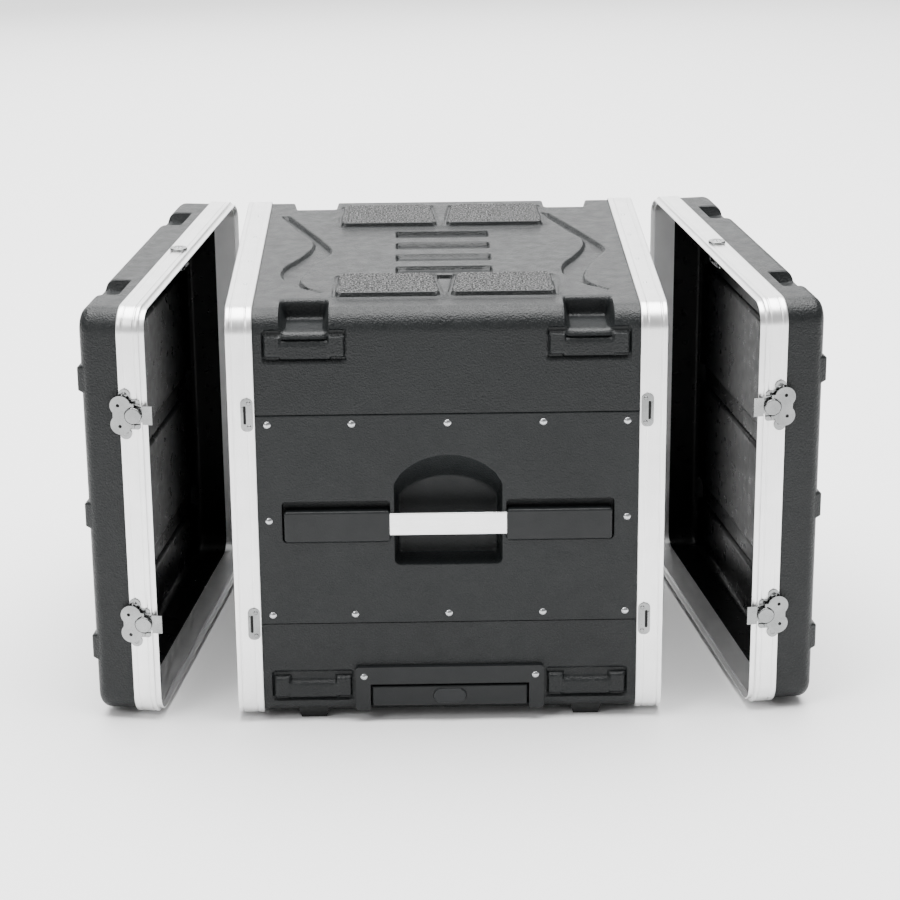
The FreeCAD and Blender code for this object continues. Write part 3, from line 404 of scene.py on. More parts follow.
def pad_mask(x, y, grow=0.0):
    """1 on the pads, grown by so much, and 0 off them."""
    return np.maximum(ease(pad_inside(x, y, PADS_NEAR, grow), PAD_EDGE),
                      ease(pad_inside(x, y, PADS_FAR, grow), PAD_EDGE))


def top_relief(x, y):
    """Height of the top's pads, wavy channels and slots over its flat face."""
    plateau = np.zeros_like(x)
    for pad in (PADS_NEAR, PADS_FAR):
        inside = block_inside(x, y, PLATEAU_HALF, pad["near"] - PLATEAU_BEFORE, pad["far"] + PLATEAU_AFTER,
                              PLATEAU_ROUND)
        plateau = np.maximum(plateau, ease(inside, PLATEAU_SLOPE))
    bands = np.zeros_like(x)
    for shift in (0, BAND_SHIFT):
        inner = curve_through(BAND_INNER, y) + shift
        outer = curve_through(BAND_OUTER, y) + shift
        ends = np.minimum(y - BAND_ENDS[0], BAND_ENDS[1] - y)
        bands = np.maximum(bands, ease(np.minimum(np.minimum(x - outer, inner - x), ends), BAND_EDGE))
    slots = np.zeros_like(x)
    pitch = (SLOT_AREA[1] - SLOT_AREA[0]) / SLOT_ROWS
    for row in range(SLOT_ROWS):
        middle = SLOT_AREA[0] + pitch * (row + 0.5)
        slot = block_inside(x, y, SLOT_HALF, middle - SLOT_HALF_WIDE, middle + SLOT_HALF_WIDE, 6)
        slots = np.maximum(slots, ease(slot, SLOT_EDGE))
    slots = np.maximum(slots, ease(block_inside(x, y, 9, -152, -134, 3), NUB_EDGE))
    pads = (PAD_STEP + MOAT_DEEP) * pad_mask(x, y) - MOAT_DEEP * pad_mask(x, y, MOAT_WIDE)
    return PLATEAU * plateau + pads - BAND_DEEP * bands - SLOT_DEEP * slots


FIELD_DEEP, BLOCK_PROUD, TAB_PROUD = 3.6, 5.0, 6.4


def block_relief(x, z, low):
    """The sunken field on a side face, and in it a centre block with a prouder tab each side."""
    across = np.abs(np.abs(x) - BLOCK_X)
    field = ease(rounded_inside(51 - across, np.minimum(z - low + 3, low + 38 - z), 4), 2.2)
    middle = ease(rounded_inside(31 - across, np.minimum(z - low, low + 24 - z), 2), 2.0)
    ledge = ease(low + 26 - z, 9)
    tab_across, tab_up = np.minimum(across - 27, 49.5 - across), np.minimum(z - low - 2, low + 31 - z)
    tab = ease(rounded_inside(tab_across, tab_up, 3), 3.0)
    return -FIELD_DEEP * field + np.maximum(BLOCK_PROUD * middle * (0.55 + 0.45 * ledge), TAB_PROUD * tab)


# Where the shells' grid lines lie, closest where the relief changes.
X_LINES = ruled((-SHELL_HALF, -222, 7), (-222, -118, 2.1), (-118, -66, 6), (-66, -57, 1.5), (-57, -16, 6),
                (-16, -3, 1.6), (-3, 3, 3), (3, 16, 1.6), (16, 57, 6), (57, 66, 1.5), (66, 118, 6),
                (118, 222, 2.1), (222, SHELL_HALF, 7))
TOP_Y = ruled((-257, -216, 2.1), (-216, -154, 4), (-154, -127, 1.8), (-127, 118, 3), (118, 126, 1.6),
              (126, 220, 4), (220, 257, 2.1))


def shell_grid(stations, outward, relief, notch=None):
    """A grid of points that follows a cross-section along X, moved out by a relief and into notches."""
    steps = np.gradient(stations, axis=0)
    steps /= np.linalg.norm(steps, axis=1)[:, None]
    normals = outward * np.stack([-steps[:, 1], steps[:, 0]], 1)
    x, y = np.meshgrid(X_LINES, stations[:, 0])
    z = np.repeat(stations[:, 1][:, None], len(X_LINES), 1)
    lift = relief(x, y, z)
    if notch is not None:
        weight, path = notch(x, stations)
        y = y * (1 - weight) + path[:, 0][:, None] * weight
        z = z * (1 - weight) + path[:, 1][:, None] * weight
        shifted = np.linalg.norm(path - stations, axis=1) > 0.001
        lift = lift * (1 - weight * shifted[:, None])
    return np.stack([x, y + lift * normals[:, 0][:, None], z + lift * normals[:, 1][:, None]], 2)


NOTCH_DROP, NOTCH_IN, NOTCH_HALF, NOTCH_BLEND = 26, 56, 31, 9
TOP_BLOCKS, BOTTOM_BLOCKS = 470, 27
TOW_HALF, TOW_LOW, TOW_HIGH = 101, 11, 48
WHEEL_X, WHEEL_HALF, WHEEL_INNER, WHEEL_HIGH = 214, 14, 222, 64


def notch_paths(stations):
    """Where each station goes inside a stacking notch: in along a floor, then up a back wall."""
    floor, back = TOP - NOTCH_DROP, SIDE - NOTCH_IN
    start, end = floor - 9, back - 6
    profile = np.concatenate([
        [(-SIDE, start)], arc((-SIDE + 8, floor - 8), 8, 180, 90, 6), [(-back - 5, floor + 1.5)],
        arc((-back - 5, floor + 6.5), 5, -90, 0, 5), [(-back, TOP - 6)], arc((-end, TOP - 6), 6, 180, 90, 5)])
    lengths = np.concatenate([[0], np.cumsum(np.linalg.norm(np.diff(stations, axis=0), axis=1))])
    path = stations.copy()
    for sign in (-1, 1):
        near = np.sign(stations[:, 0]) == sign
        inside = near & (stations[:, 1] >= start) & (np.abs(stations[:, 0]) >= end)
        where = lengths[inside]
        t = (where - where.min()) / (where.max() - where.min())
        points = along(profile, t if sign < 0 else 1 - t)
        path[inside] = points * [-sign, 1]
    return path


def top_notch(x, stations):
    """How much each point belongs to a notch, and the notch's path."""
    weight = ease(NOTCH_HALF - np.abs(np.abs(x) - NOTCH_X), NOTCH_BLEND)
    return weight, notch_paths(stations)


def flange(edge, away):
    """The lip of a shell that laps behind the side panel, up to the panel's edge."""
    steps = [(1.6, -12), (1.6, 0.4), (1.2, 0.8), (0.3, 0.9)]
    return np.array([(-SIDE + inward, edge + away * step) for inward, step in steps])


def build_top_shell():
    """The upper shell, with its relief, two notches each side and the pads' own grain."""
    side_z = ruled((PANEL_TOP + 1.3, 462, 8), (462, TOP - CORNER, 2))
    rise = np.concatenate([flange(PANEL_TOP, 1), np.stack([np.full(len(side_z), -SIDE), side_z], 1)])
    near_arc = arc((-SIDE + CORNER, TOP - CORNER), CORNER, 180, 90, 20)
    flat = np.stack([TOP_Y, np.full(len(TOP_Y), TOP)], 1)
    far_arc = near_arc[::-1] * [-1, 1]
    stations = np.concatenate([rise[:-1], near_arc[:-1], flat[:-1], far_arc[:-1], rise[::-1] * [-1, 1]])

    def relief(x, y, z):
        return np.where(z > TOP - 0.01, top_relief(x, y), block_relief(x, z, TOP_BLOCKS))

    points = shell_grid(stations, 1, relief, top_notch)
    faces = grid_faces(*points.shape[:2])
    flat_points = points.reshape(-1, 3)
    obj = make_object("top_shell_look", flat_points, faces, CASE, [SHELL, LINING, PADS])
    middles = flat_points[faces].mean(1)
    grain = (pad_inside(middles[:, 0], middles[:, 1], PADS_NEAR) > 3) | (
        pad_inside(middles[:, 0], middles[:, 1], PADS_FAR) > 3)
    grain &= middles[:, 2] > TOP + 2
    obj.data.polygons.foreach_set("material_index", np.where(grain, 2, 0).astype(np.int32))
    thicken(obj, SHELL_WALL, 0)
    publish(obj, "top_shell")


def build_bottom_shell():
    """The lower shell, open at the tow handle's housing and at the wheels."""
    side_z = ruled((PANEL_BOTTOM - 1.3, 76, 8), (76, BOTTOM + CORNER, 2))
    drop = np.concatenate([flange(PANEL_BOTTOM, -1), np.stack([np.full(len(side_z), -SIDE), side_z], 1)])
    near_arc = arc((-SIDE + CORNER, BOTTOM + CORNER), CORNER, 180, 270, 20)
    low_y = ruled((-257, -235, 11), (-235, 222, 12), (222, 257, 5))
    flat = np.stack([low_y, np.full(len(low_y), BOTTOM)], 1)
    far_arc = near_arc[::-1] * [-1, 1]
    stations = np.concatenate([drop[:-1], near_arc[:-1], flat[:-1], far_arc[:-1], drop[::-1] * [-1, 1]])

    def relief(x, y, z):
        return np.where(z > BOTTOM + 6, block_relief(x, z, BOTTOM_BLOCKS), 0)

    points = shell_grid(stations, -1, relief)
    cells = (points[:-1, :-1] + points[1:, 1:]) / 2
    x, y, z = cells[..., 0], cells[..., 1], cells[..., 2]
    tow = (np.abs(x) < TOW_HALF) & (y < -250) & (z > TOW_LOW) & (z < TOW_HIGH)
    wheels = (np.abs(np.abs(x) - WHEEL_X) < WHEEL_HALF) & (y > WHEEL_INNER) & (z < WHEEL_HIGH)
    faces = grid_faces(*points.shape[:2], ~(tow | wheels))[:, ::-1]
    obj = make_object("bottom_shell_look", points.reshape(-1, 3), faces, CASE, [SHELL, LINING])
    thicken(obj, SHELL_WALL, 0)
    publish(obj, "bottom_shell")


build_top_shell()
build_bottom_shell()


# ---------------------------------------------------------------- outlines, pockets and plates

def offset_outline(points, distance):
    """Moves a closed outline outward, taken anticlockwise."""
    points = np.asarray(points, float)
    before, after = points - np.roll(points, 1, 0), np.roll(points, -1, 0) - points
    before /= np.linalg.norm(before, axis=1)[:, None]
    after /= np.linalg.norm(after, axis=1)[:, None]
    normal = np.stack([before[:, 1] + after[:, 1], -before[:, 0] - after[:, 0]], 1)
    normal /= np.linalg.norm(normal, axis=1)[:, None]
    stretch = normal[:, 0] * after[:, 1] - normal[:, 1] * after[:, 0]
    return points + normal * (distance / np.maximum(stretch, 0.5))[:, None]


def rounded_rectangle(x0, y0, x1, y1, radius, count=6):
    """A closed outline, taken anticlockwise from its lower right corner."""
    corners = [((x1 - radius, y0 + radius), -90), ((x1 - radius, y1 - radius), 0),
               ((x0 + radius, y1 - radius), 90), ((x0 + radius, y0 + radius), 180)]
    return np.concatenate([arc(centre, radius, start, start + 90, count) for centre, start in corners])


def contains(outline, point):
    """Whether a point is inside a closed outline."""
    x, y = point
    crossings = 0
    for (x0, y0), (x1, y1) in zip(outline, np.roll(outline, -1, 0)):
        if (y0 > y) != (y1 > y) and x < x0 + (y - y0) * (x1 - x0) / (y1 - y0):
            crossings += 1
    return crossings % 2 == 1


def filled(outer, holes, level):
    """Triangles between an outline and its holes, at one level."""
    loops = [outer] + holes
    points, edges = [], []
    for loop in loops:
        start = len(points)
        points += [Vector(p) for p in loop]
        edges += [(start + i, start + (i + 1) % len(loop)) for i in range(len(loop))]
    verts, _, faces, *_ = geometry.delaunay_2d_cdt(points, edges, [], 1, 1e-5)
    kept = []
    for face in faces:
        a, b, c = (verts[i] for i in face)
        if not any(contains(hole, (a + b + c) / 3) for hole in holes):
            kept.append(tuple(face) if (b - a).cross(c - a) > 0 else tuple(reversed(face)))
    return [(v.x, v.y, level) for v in verts], kept


def loft(rings):
    """Quads between successive closed rings of points."""
    count = len(rings[0])
    verts = [tuple(p) for ring in rings for p in ring]
    faces = []
    for r in range(len(rings) - 1):
        for k in range(count):
            n = (k + 1) % count
            faces.append((r * count + k, r * count + n, (r + 1) * count + n, (r + 1) * count + k))
    return verts, faces


def ring_at(outline, offset, level):
    """An outline moved outward, at one level."""
    return [(x, y, level) for x, y in offset_outline(outline, offset)]


WELD = 0.00001


def weld(obj, recalculate=True):
    """Merge points that meet, and make neighbouring faces agree in direction if asked."""
    bm = bmesh.new()
    bm.from_mesh(obj.data)
    bmesh.ops.remove_doubles(bm, verts=bm.verts, dist=WELD)
    bmesh.ops.dissolve_degenerate(bm, edges=bm.edges, dist=WELD / 2)
    if recalculate:
        bmesh.ops.recalc_face_normals(bm, faces=bm.faces)
    bm.to_mesh(obj.data)
    bm.free()
    return obj


# ---------------------------------------------------------------- side panels

CUP_HALF, CUP_FLOOR, CUP_SPRING, CUP_CROWN = 66.0, 205.5, 314.0, 347.5
CUP_DEEP = 35.0
CUP_BACK_HALF, CUP_BACK_HIGH, CUP_BACK_LOW = 61.5, 101, 209
CHANNEL_X, CHANNEL_Z, CHANNEL_DEEP = (71.2, 203.0), (236.5, 289.4), 12.0


def cup_outline():
    """Straight sides with rounded corners, under a low arch."""
    rise = CUP_CROWN - CUP_SPRING
    radius = (CUP_HALF ** 2 + rise ** 2) / (2 * rise)
    lean = math.degrees(math.atan2(CUP_SPRING - (CUP_CROWN - radius), CUP_HALF))
    crown = arc((0, CUP_CROWN - radius), radius, lean + 9, 171 - lean, 22)
    right = arc((CUP_HALF - 12, CUP_SPRING - 7), 12, 0, 40, 5)
    left = right[::-1] * [-1, 1]
    lower = rounded_rectangle(-CUP_HALF, CUP_FLOOR, CUP_HALF, CUP_SPRING, 7)
    return np.concatenate([lower[:7], right, crown, left, lower[-7:]])


def pocket(front, back, profile):
    """A pocket's walls, from (share of the way to the back outline, offset, depth) steps, and its floor."""
    rings = []
    for share, offset, depth in profile:
        outline = front + share * (back - front)
        rings.append(ring_at(outline, offset, depth))
    share, offset, depth = profile[-1]
    floor = filled(offset_outline(front + share * (back - front), offset), [], depth)
    return joined([loft(rings), floor])


def build_side_panel(node, matrix):
    """A panel with the handle's cup and a channel each side of it, all with softened lips."""
    lip = [(0, 1.4, 0), (0, 1.0, 0), (0, 0.3, 0.3), (0, 0, 1.0)]
    cup = cup_outline()
    high = CUP_CROWN - CUP_FLOOR
    cup_back = cup * [CUP_BACK_HALF / CUP_HALF, CUP_BACK_HIGH / high]
    cup_back = cup_back + [0, CUP_BACK_LOW - CUP_FLOOR * CUP_BACK_HIGH / high]
    channels = []
    for sign in (1, -1):
        box = rounded_rectangle(CHANNEL_X[0], CHANNEL_Z[0], CHANNEL_X[1], CHANNEL_Z[1], 5)
        channels.append(box if sign > 0 else box[::-1] * [-1, 1])
    cup_wall = [(0.03, 0, 3), (0.9, 0, 31), (0.97, -0.6, 33.6), (1, -2.8, CUP_DEEP)]
    channel_wall = [(0, 0, 9.5), (0, -0.6, 11.3), (0, -2.2, CHANNEL_DEEP)]
    parts = [pocket(cup, cup_back, lip + cup_wall)]
    for channel in channels:
        parts.append(pocket(channel, channel, lip + channel_wall))
    outer = rounded_rectangle(-SHELL_HALF, PANEL_BOTTOM, SHELL_HALF, PANEL_TOP, 0.8, 2)
    rim = [(-1.3, 0), (-0.9, 0), (-0.28, 0.28), (0, 0.9), (0, 2.4)]
    rim_verts, rim_faces = loft([ring_at(outer, offset, depth) for offset, depth in rim])
    parts.append((rim_verts, [face[::-1] for face in rim_faces]))
    holes = [offset_outline(hole, 1.4) for hole in [cup] + channels]
    parts.append(filled(offset_outline(outer, -1.3), holes, 0))
    verts, faces = joined(parts)
    verts = [(x, -PANEL_FACE + depth, z) for x, z, depth in verts]
    obj = weld(make_object(node + "_look", verts, faces, matrix, [PANEL, LINING]), False)
    thicken(obj, PANEL_WALL, 0)
    publish(obj, node)


build_side_panel("near_side_panel", CASE)
build_side_panel("far_side_panel", CASE @ HALF_TURN)


# ---------------------------------------------------------------- small raised parts on the sides

def pillow(outline, base, face, radius, taper=0.0):
    """A raised block with rounded edges, standing from one depth up to a shallower one."""
    steps = [(taper, base), (0.0, face + radius)]
    for a in np.radians([22, 45, 68, 90]):
        steps.append((radius * (math.cos(a) - 1), face + radius * (1 - math.sin(a))))
    verts, faces = loft([ring_at(outline, offset, depth) for offset, depth in steps])
    cap = filled(offset_outline(outline, steps[-1][0]), [], face)
    back_verts, back_faces = filled(offset_outline(outline, taper), [], base)
    return joined([(verts, faces), cap, (back_verts, [face[::-1] for face in back_faces])])


def on_side(part, x, z, mirror=False):
    """Points given as (across, up, depth) on a side face of the case, on the near or the far side."""
    verts, faces = part
    turn = -1 if mirror else 1
    return [(x + a, turn * (depth - HALF_WIDTH), z + turn * up) for a, up, depth in verts], faces


def build_end_covers():
    """The four blocks over the ends of the side handles' bars, in their channels."""
    panel = HALF_WIDTH - PANEL_FACE
    low, high = CHANNEL_Z[0] + 0.3, CHANNEL_Z[1] - 12.4
    parts = []
    for x0, x1 in ((CHANNEL_X[0], CHANNEL_X[1] - 2), (2 - CHANNEL_X[1], -CHANNEL_X[0])):
        outline = rounded_rectangle(x0, low, x1, high, 4)
        block = on_side(pillow(outline, panel + CHANNEL_DEEP - 0.3, panel - 3.4, 3.2), 0, 0)
        parts += [block, moved(block, HALF_TURN)]
    obj = weld(make_object("end_covers_look", *joined(parts), CASE, [MOULDED]), False)
    publish(obj, "side_handle_end_covers", 50)


def keeper_part():
    """A plate with a slot for the hook, a folded lip beside it and two rivet heads, and a dark sheet for the
    slot that is painted shade.
    """
    outline = rounded_rectangle(15.8, -21, 31, 21, 6.5)
    slot = rounded_rectangle(19.2, -11.5, 22.4, 11.5, 1.2, 3)
    rim = loft([ring_at(outline, 0, 0), ring_at(outline, 0, -0.7), ring_at(outline, -0.3, -1.0)])
    plate = filled(offset_outline(outline, -0.3), [offset_outline(slot, 0.25)], -1.0)
    wall = loft([ring_at(slot, 0.25, -1.0), ring_at(slot, 0, -0.8), ring_at(slot, 0, -0.05)])
    lip = pillow(rounded_rectangle(17.3, -10.5, 18.9, 10.5, 0.6, 3), -0.6, -2.4, 0.6)
    circle = arc((0, 0), 2.7, 0, 360, 24)[:-1]
    head = [pillow(circle + [25.8, z], -0.6, -2.3, 1.3) for z in (-15.2, 15.2)]
    # The second piece is a flat sheet on the frame's face, filling the slot, that carries painted shade.
    return joined([rim, plate, wall, lip] + head), filled(slot, [], -0.05)


def build_keepers():
    """The eight keepers, each level with its latch, and dark sheets in their slots as painted shade."""
    metal_part, slot_shade_part = keeper_part()
    spots = [Vector(JOINTS[f"front_near_{level}_turn"]["pos_m"]) for level in LEVELS]
    heights = [(spot - datum()).z * 1000 for spot in spots]
    metal_spots, slot_shade_spots = [], []
    for height in heights:
        for mirror in (False, True):
            for part, found in ((metal_part, metal_spots), (slot_shade_part, slot_shade_spots)):
                one = on_side(part, -HALF_DEPTH, height, mirror)
                found += [one, moved(one, HALF_TURN)]
    metal_verts, metal_faces = joined(metal_spots)
    verts, faces = joined([(metal_verts, metal_faces)] + slot_shade_spots)
    obj = make_object("keepers_look", verts, faces, CASE, [NICKEL, LINING])
    # The slot sheets take the near-black lining: painted shade in the slots.
    for face in obj.data.polygons[len(metal_faces):]:
        face.material_index = 1
    publish(weld(obj, False), "latch_keepers", 45)


build_end_covers()
build_keepers()


# ---------------------------------------------------------------- frames

# Cross-sections as (distance along X, inset) points, with the frames' grooves and tongues.
CASE_PROFILE = [(0, 9), (0, 7.3), (0.3, 7), (7, 7), (7, 3), (0.3, 3), (0, 2.7), (0, 1.9), (0.35, 0.8),
                (1.0, 0.2), (2.0, 0), (4.4, 0), (5.4, 0.2), (6.0, 0.7), (6.4, 1.2), (7.4, 1.2), (7.8, 0.7),
                (8.4, 0.35), (9.4, 0.25), (22.4, 0.25), (23.0, 0.5), (23.5, 0.9), (24.3, 0.9), (24.8, 0.5),
                (25.4, 0.1), (26.4, 0),
                (30.2, 0), (31.4, 0.25), (32.2, 0.8), (32.6, 1.6), (32.6, 2), (15.6, 2), (15.6, 7), (32.6, 7),
                (32.6, 9)]
COVER_PROFILE = [(0, 9), (0, 6.2), (-0.2, 6), (-5.4, 6), (-6, 5.4), (-6, 4.6), (-5.4, 4), (-0.2, 4), (0, 3.8),
                 (0, 1.9), (0.35, 0.8), (1.0, 0.2), (2.0, 0), (3.8, 0), (4.8, 0.2), (5.4, 0.7), (5.8, 1.2),
                 (6.8, 1.2), (7.2, 0.7), (7.8, 0.35), (8.8, 0.25), (18.6, 0.25), (19.2, 0.5), (19.7, 0.9),
                 (20.5, 0.9), (21.0, 0.5), (21.6, 0.1), (22.6, 0), (25.8, 0), (27.0, 0.25), (27.7, 0.8),
                 (28, 1.6), (28, 2), (11, 2), (11, 7), (28, 7), (28, 9)]


COVER_FACE = -HALF_DEPTH - 0.3


def hoop(profile, start, direction):
    """A cross-section swept round the case's outline, from a start along X in one direction."""
    radius = HALF_WIDTH - SIDE + CORNER
    centres = [(HALF_WIDTH - radius, radius, -90), (HALF_WIDTH - radius, HEIGHT - radius, 0),
               (radius - HALF_WIDTH, HEIGHT - radius, 90), (radius - HALF_WIDTH, radius, 180)]
    rings = []
    for cy, cz, first in centres:
        for angle in np.radians(np.linspace(first, first + 90, 15)):
            rings.append([(start + direction * along_x, cy + (radius - inset) * math.cos(angle),
                           cz + (radius - inset) * math.sin(angle)) for along_x, inset in profile])
    rings.append(rings[0])
    return loft(rings)


def build_frames():
    """The case's two aluminium frames and the covers' two."""
    for node, matrix in (("front_frame", CASE), ("rear_frame", CASE @ HALF_TURN)):
        obj = make_object(node + "_look", *hoop(CASE_PROFILE, -HALF_DEPTH, 1), matrix, [ALUMINIUM])
        publish(weld(obj), node, 50)
    for end in ENDS:
        ring = hoop(COVER_PROFILE, COVER_FACE, -1)
        obj = make_object(end + "_cover_frame_look", *ring, cover_matrix(end), [ALUMINIUM])
        publish(weld(obj), end + "_cover_frame", 50)


build_frames()


# ---------------------------------------------------------------- covers

COVER_DEEP, COVER_ROUND, COVER_TUCK = 76.0, 14.0, 11.0
BAR_HEIGHTS, BAR_HALF, BAR_PROUD = (90.5, 266.0, 441.5), 17.5, 4.5
PAST_NOTCH = 99  # a length along the notch that is longer than the notch itself
COVER_NOTCH_Y, COVER_NOTCH_HALF, COVER_NOTCH_U, COVER_NOTCH_DEEP = 173.0, 35.0, 42.0, 14.0


def cover_lines():
    """Where the face's grid lines lie, closest beside the bars and notches."""
    across = ruled((-257, -212, 4), (-212, -134, 2.6), (-134, 134, 9), (134, 212, 2.6), (212, 257, 4))
    spans, start = [], 30.0
    for height in BAR_HEIGHTS:
        for edge in (height - BAR_HALF, height + BAR_HALF):
            spans += [(start, edge - 4, 8), (edge - 4, edge + 4, 1.0)]
            start = edge + 4
    return across, ruled(*spans, (start, 502, 6))


def cover_ring(inset, across, upright):
    """Points round the cover at one inset, with eight steps at each corner."""
    def corner(cy, cz, start):
        return arc((cy, cz), CORNER - inset, start, start + 90, 8)[1:-1]
    low, high, side = BOTTOM + inset, TOP - inset, SIDE - inset
    return np.concatenate([
        np.stack([across, np.full(len(across), low)], 1), corner(257, 30, -90),
        np.stack([np.full(len(upright), side), upright], 1), corner(257, 502, 0),
        np.stack([across[::-1], np.full(len(across), high)], 1), corner(-257, 502, 90),
        np.stack([np.full(len(upright), -side), upright[::-1]], 1), corner(-257, 30, 180)])


def bar_lift(inset, z, u):
    """Brings the points on the three bars out to the bars' face."""
    weight = sum(ease(BAR_HALF - np.abs(z - height), 3.2) for height in BAR_HEIGHTS) * ease(inset - 4.5, 3.0)
    return u + weight * (COVER_DEEP + BAR_PROUD - u)


def notch_morph(y, z, u, inset, run):
    """Moves points near the top's outer edge down into the two notches. Run is a length along the notch."""
    full = COVER_DEEP - COVER_ROUND - COVER_NOTCH_U + COVER_ROUND * math.pi / 2
    floor = TOP - COVER_NOTCH_DEEP
    path = np.concatenate([[(COVER_NOTCH_U, TOP)], arc((COVER_NOTCH_U + 5, floor + 5), 5, 180, 270, 5),
                           [(COVER_DEEP - 2, floor), (COVER_DEEP, floor - 0.5)]])
    target = along(path, [min(max(run / full, 0), 1)])[0]
    weight = ease(COVER_NOTCH_HALF - np.abs(np.abs(y) - COVER_NOTCH_Y), 7)
    weight = weight * (z > TOP - inset - 0.01) * (run >= 0)
    return z + weight * (target[1] - z), u + weight * (target[0] - u)


def cover_surface():
    """A closed cover's outer surface: rings from its rim to the edge of its face, then the face."""
    across, upright = cover_lines()
    bend = np.radians(np.linspace(0, 90, 9))
    levels = [(0.0, u, u - COVER_NOTCH_U) for u in (COVER_TUCK, 28, 36, 41.9, 42, 43.5, 46, 49, 53, 57, 62)]
    levels += [(COVER_ROUND * (1 - math.cos(a)), COVER_DEEP - COVER_ROUND * (1 - math.sin(a)),
                COVER_DEEP - COVER_ROUND - COVER_NOTCH_U + COVER_ROUND * a) for a in bend[1:]]
    levels += [(inset, COVER_DEEP, PAST_NOTCH) for inset in (17.0, 21.0, CORNER)]
    rings = []
    for inset, u, run in levels:
        y, z = cover_ring(inset, across, upright).T
        depth = bar_lift(inset, z, np.full(len(y), u))
        if run < PAST_NOTCH:
            z, depth = notch_morph(y, z, depth, inset, run)
        rings.append(np.stack([COVER_FACE - depth, y, z], 1))
    y, z = np.meshgrid(across, upright)
    face = np.stack([COVER_FACE - bar_lift(CORNER, z, np.full(z.shape, COVER_DEEP)), y, z], 2)
    return joined([loft(rings), (face.reshape(-1, 3), grid_faces(len(upright), len(across)))])


def build_cover_shell(end):
    """A cover's moulded shell, turned so that its faces point away from the case."""
    matrix = cover_matrix(end)
    obj = weld(make_object(end + "_cover_shell_look", *cover_surface(), matrix, [SHELL, LINING]))
    facing = sum((face.normal * face.area for face in obj.data.polygons), Vector())
    if facing.dot(matrix.to_3x3() @ Vector((-1, 0, 0))) < 0:
        obj.data.flip_normals()
    thicken(obj, COVER_WALL, 1)
    publish(obj, end + "_cover_shell")


for end in ENDS:
    build_cover_shell(end)


# ---------------------------------------------------------------- parts whose CAD shape only needs soft edges

FLAT_ANGLE, SHARP_ANGLE = 0.6, 32


def softened(node, material, width):
    """A copy of a CAD node with its flat faces merged and its sharp edges rounded."""
    source = frame["nodes"][node]
    obj = source.copy()
    obj.data = source.data.copy()
    obj.name = node + "_look"
    obj.parent = None
    del obj["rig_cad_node"]
    bpy.context.scene.collection.objects.link(obj)
    obj.data.materials.clear()
    obj.data.materials.append(material)
    bm = bmesh.new()
    bm.from_mesh(obj.data)
    bmesh.ops.remove_doubles(bm, verts=bm.verts, dist=1e-6)
    bmesh.ops.dissolve_limit(bm, angle_limit=math.radians(FLAT_ANGLE), verts=bm.verts, edges=bm.edges)
    bm.to_mesh(obj.data)
    bm.free()
    modify(obj, "BEVEL", width=width, segments=2, limit_method="ANGLE", angle_limit=math.radians(SHARP_ANGLE),
           use_clamp_overlap=True)
    hand_over(obj, node)


# Each node's material and the width of its rounded edges in metres.
SOFT_PARTS = {
    "stacking_feet": (FOOT, 0.0018), "side_handle_bars": (BRUSHED, 0.0005), "tow_housing": (MOULDED, 0.0012),
    "tow_grip": (MOULDED, 0.0015), "tow_button": (RELEASE, 0.0008), "lock_catches": (ZINC, 0.0003),
    "wheel_housings": (MOULDED, 0.001),
}
for end in ENDS:
    SOFT_PARTS[f"{end}_latch_bases"] = (NICKEL, 0.00025)
    SOFT_PARTS[f"{end}_cover_lock_cam"] = (ZINC, 0.0003)
    SOFT_PARTS[f"{end}_cover_lock_body"] = (NICKEL, 0.0004)
LATCHES = [f"{end}_{side}_{level}" for end in ENDS for side in ("near", "far") for level in LEVELS]
for latch in LATCHES:
    SOFT_PARTS[f"{latch}_latch_rotor"] = (NICKEL, 0.0003)
    SOFT_PARTS[f"{latch}_latch_wing"] = (NICKEL, 0.00035)
    SOFT_PARTS[f"{latch}_latch_hook"] = (NICKEL, 0.0003)
for node, (material, width) in SOFT_PARTS.items():
    softened(node, material, width)

# Nodes shown just as the CAD has them.
KEPT = {"rack_rails": COATED, "rail_screws": ZINC, "tow_guide_tubes": COATED, "tow_inner_tubes": TUBE,
        "wheel_axles": ZINC, "case_rivets": ZINC, "tow_housing_screws": ZINC,
        "left_wheel_hub": WHEEL, "right_wheel_hub": WHEEL, "left_wheel_tyre": TYRE, "right_wheel_tyre": TYRE}
for node, material in KEPT.items():
    mesh = frame["nodes"][node].data
    mesh.materials.clear()
    mesh.materials.append(material)


# ---------------------------------------------------------------- floor, light and camera

# Solved from the photo: the place and the lens in millimetres, the turn, downward tilt and roll in degrees.
CAMERA_AT = Vector((-40.2, -3275.9, 1392.4))
CAMERA_TURN, CAMERA_DOWN, CAMERA_ROLL = -0.823, 19.147, -0.504
CAMERA_LENS = 104.5
FLOOR_HALF = 40
WORLD_LIGHT = 0.45
LIGHTS = (  # name, place, target, size, watts
    ("overhead", (0, 0.8, 5.0), (0, 0.8, 0), (6.0, 6.0), 1250),
    ("back", (-0.6, 4.5, 2.0), (0, 0, 0.5), (5.0, 2.4), 110),
    ("key", (-2.4, -2.6, 2.8), (0, 0, 0.3), (1.4, 1.4), 45),
)


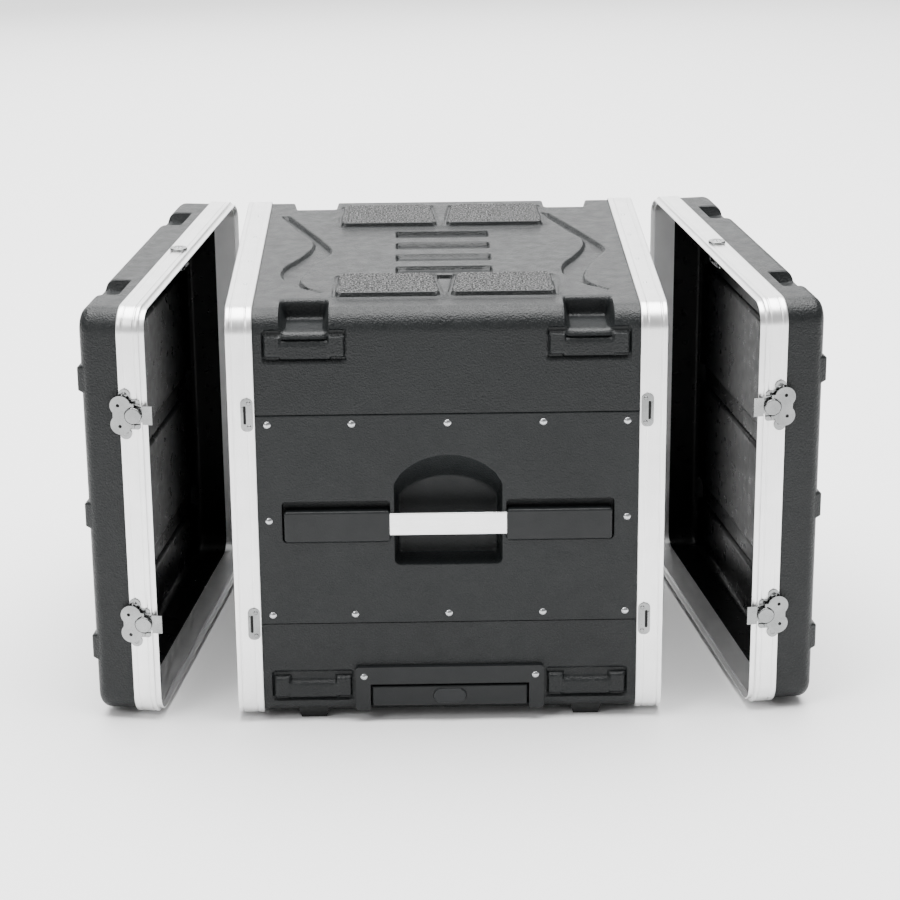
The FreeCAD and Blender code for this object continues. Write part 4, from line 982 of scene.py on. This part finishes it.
def build_stage():
    mesh = bpy.data.meshes.new("floor")
    bm = bmesh.new()
    bmesh.ops.create_grid(bm, x_segments=4, y_segments=4, size=FLOOR_HALF)
    bm.to_mesh(mesh)
    bm.free()
    floor = bpy.data.objects.new("floor", mesh)
    bpy.context.scene.collection.objects.link(floor)
    material, _, _, shader = new_material("pale_floor")
    shader.inputs["Base Color"].default_value = (0.93, 0.93, 0.93, 1)
    shader.inputs["Roughness"].default_value = 0.9
    shader.inputs["Specular IOR Level"].default_value = 0.1
    mesh.materials.append(material)


def area_light(name, spot, target, size, power):
    light = bpy.data.lights.new(name, "AREA")
    light.shape = "RECTANGLE"
    light.size, light.size_y = size
    light.energy = power
    obj = bpy.data.objects.new(name, light)
    obj.location = spot
    obj.rotation_euler = (Vector(target) - Vector(spot)).to_track_quat("-Z", "Y").to_euler()
    bpy.context.scene.collection.objects.link(obj)


def build_light():
    world = bpy.data.worlds.new("studio")
    bpy.context.scene.world = world
    world.use_nodes = True
    background = world.node_tree.nodes["Background"]
    background.inputs["Color"].default_value = (1, 1, 1, 1)
    background.inputs["Strength"].default_value = WORLD_LIGHT
    for light in LIGHTS:
        area_light(*light)


def build_camera():
    turn, down, roll = (math.radians(a) for a in (CAMERA_TURN, CAMERA_DOWN, CAMERA_ROLL))
    ahead = Vector((-math.sin(turn) * math.cos(down), math.cos(turn) * math.cos(down), -math.sin(down)))
    right = Vector((math.cos(turn), math.sin(turn), 0))
    up = right.cross(ahead)
    rolled_right = math.cos(roll) * right + math.sin(roll) * up
    rolled_up = math.cos(roll) * up - math.sin(roll) * right
    axes = Matrix((rolled_right, rolled_up, -ahead)).transposed().to_4x4()
    camera = bpy.data.objects.new("camera", bpy.data.cameras.new("camera"))
    camera.data.sensor_width = 36
    camera.data.lens = CAMERA_LENS
    camera.data.clip_end = 100
    camera.matrix_world = Matrix.Translation(CASE @ CAMERA_AT) @ axes
    bpy.context.scene.collection.objects.link(camera)
    bpy.context.scene.camera = camera


build_stage()
build_light()
build_camera()

bpy.context.view_layer.update()
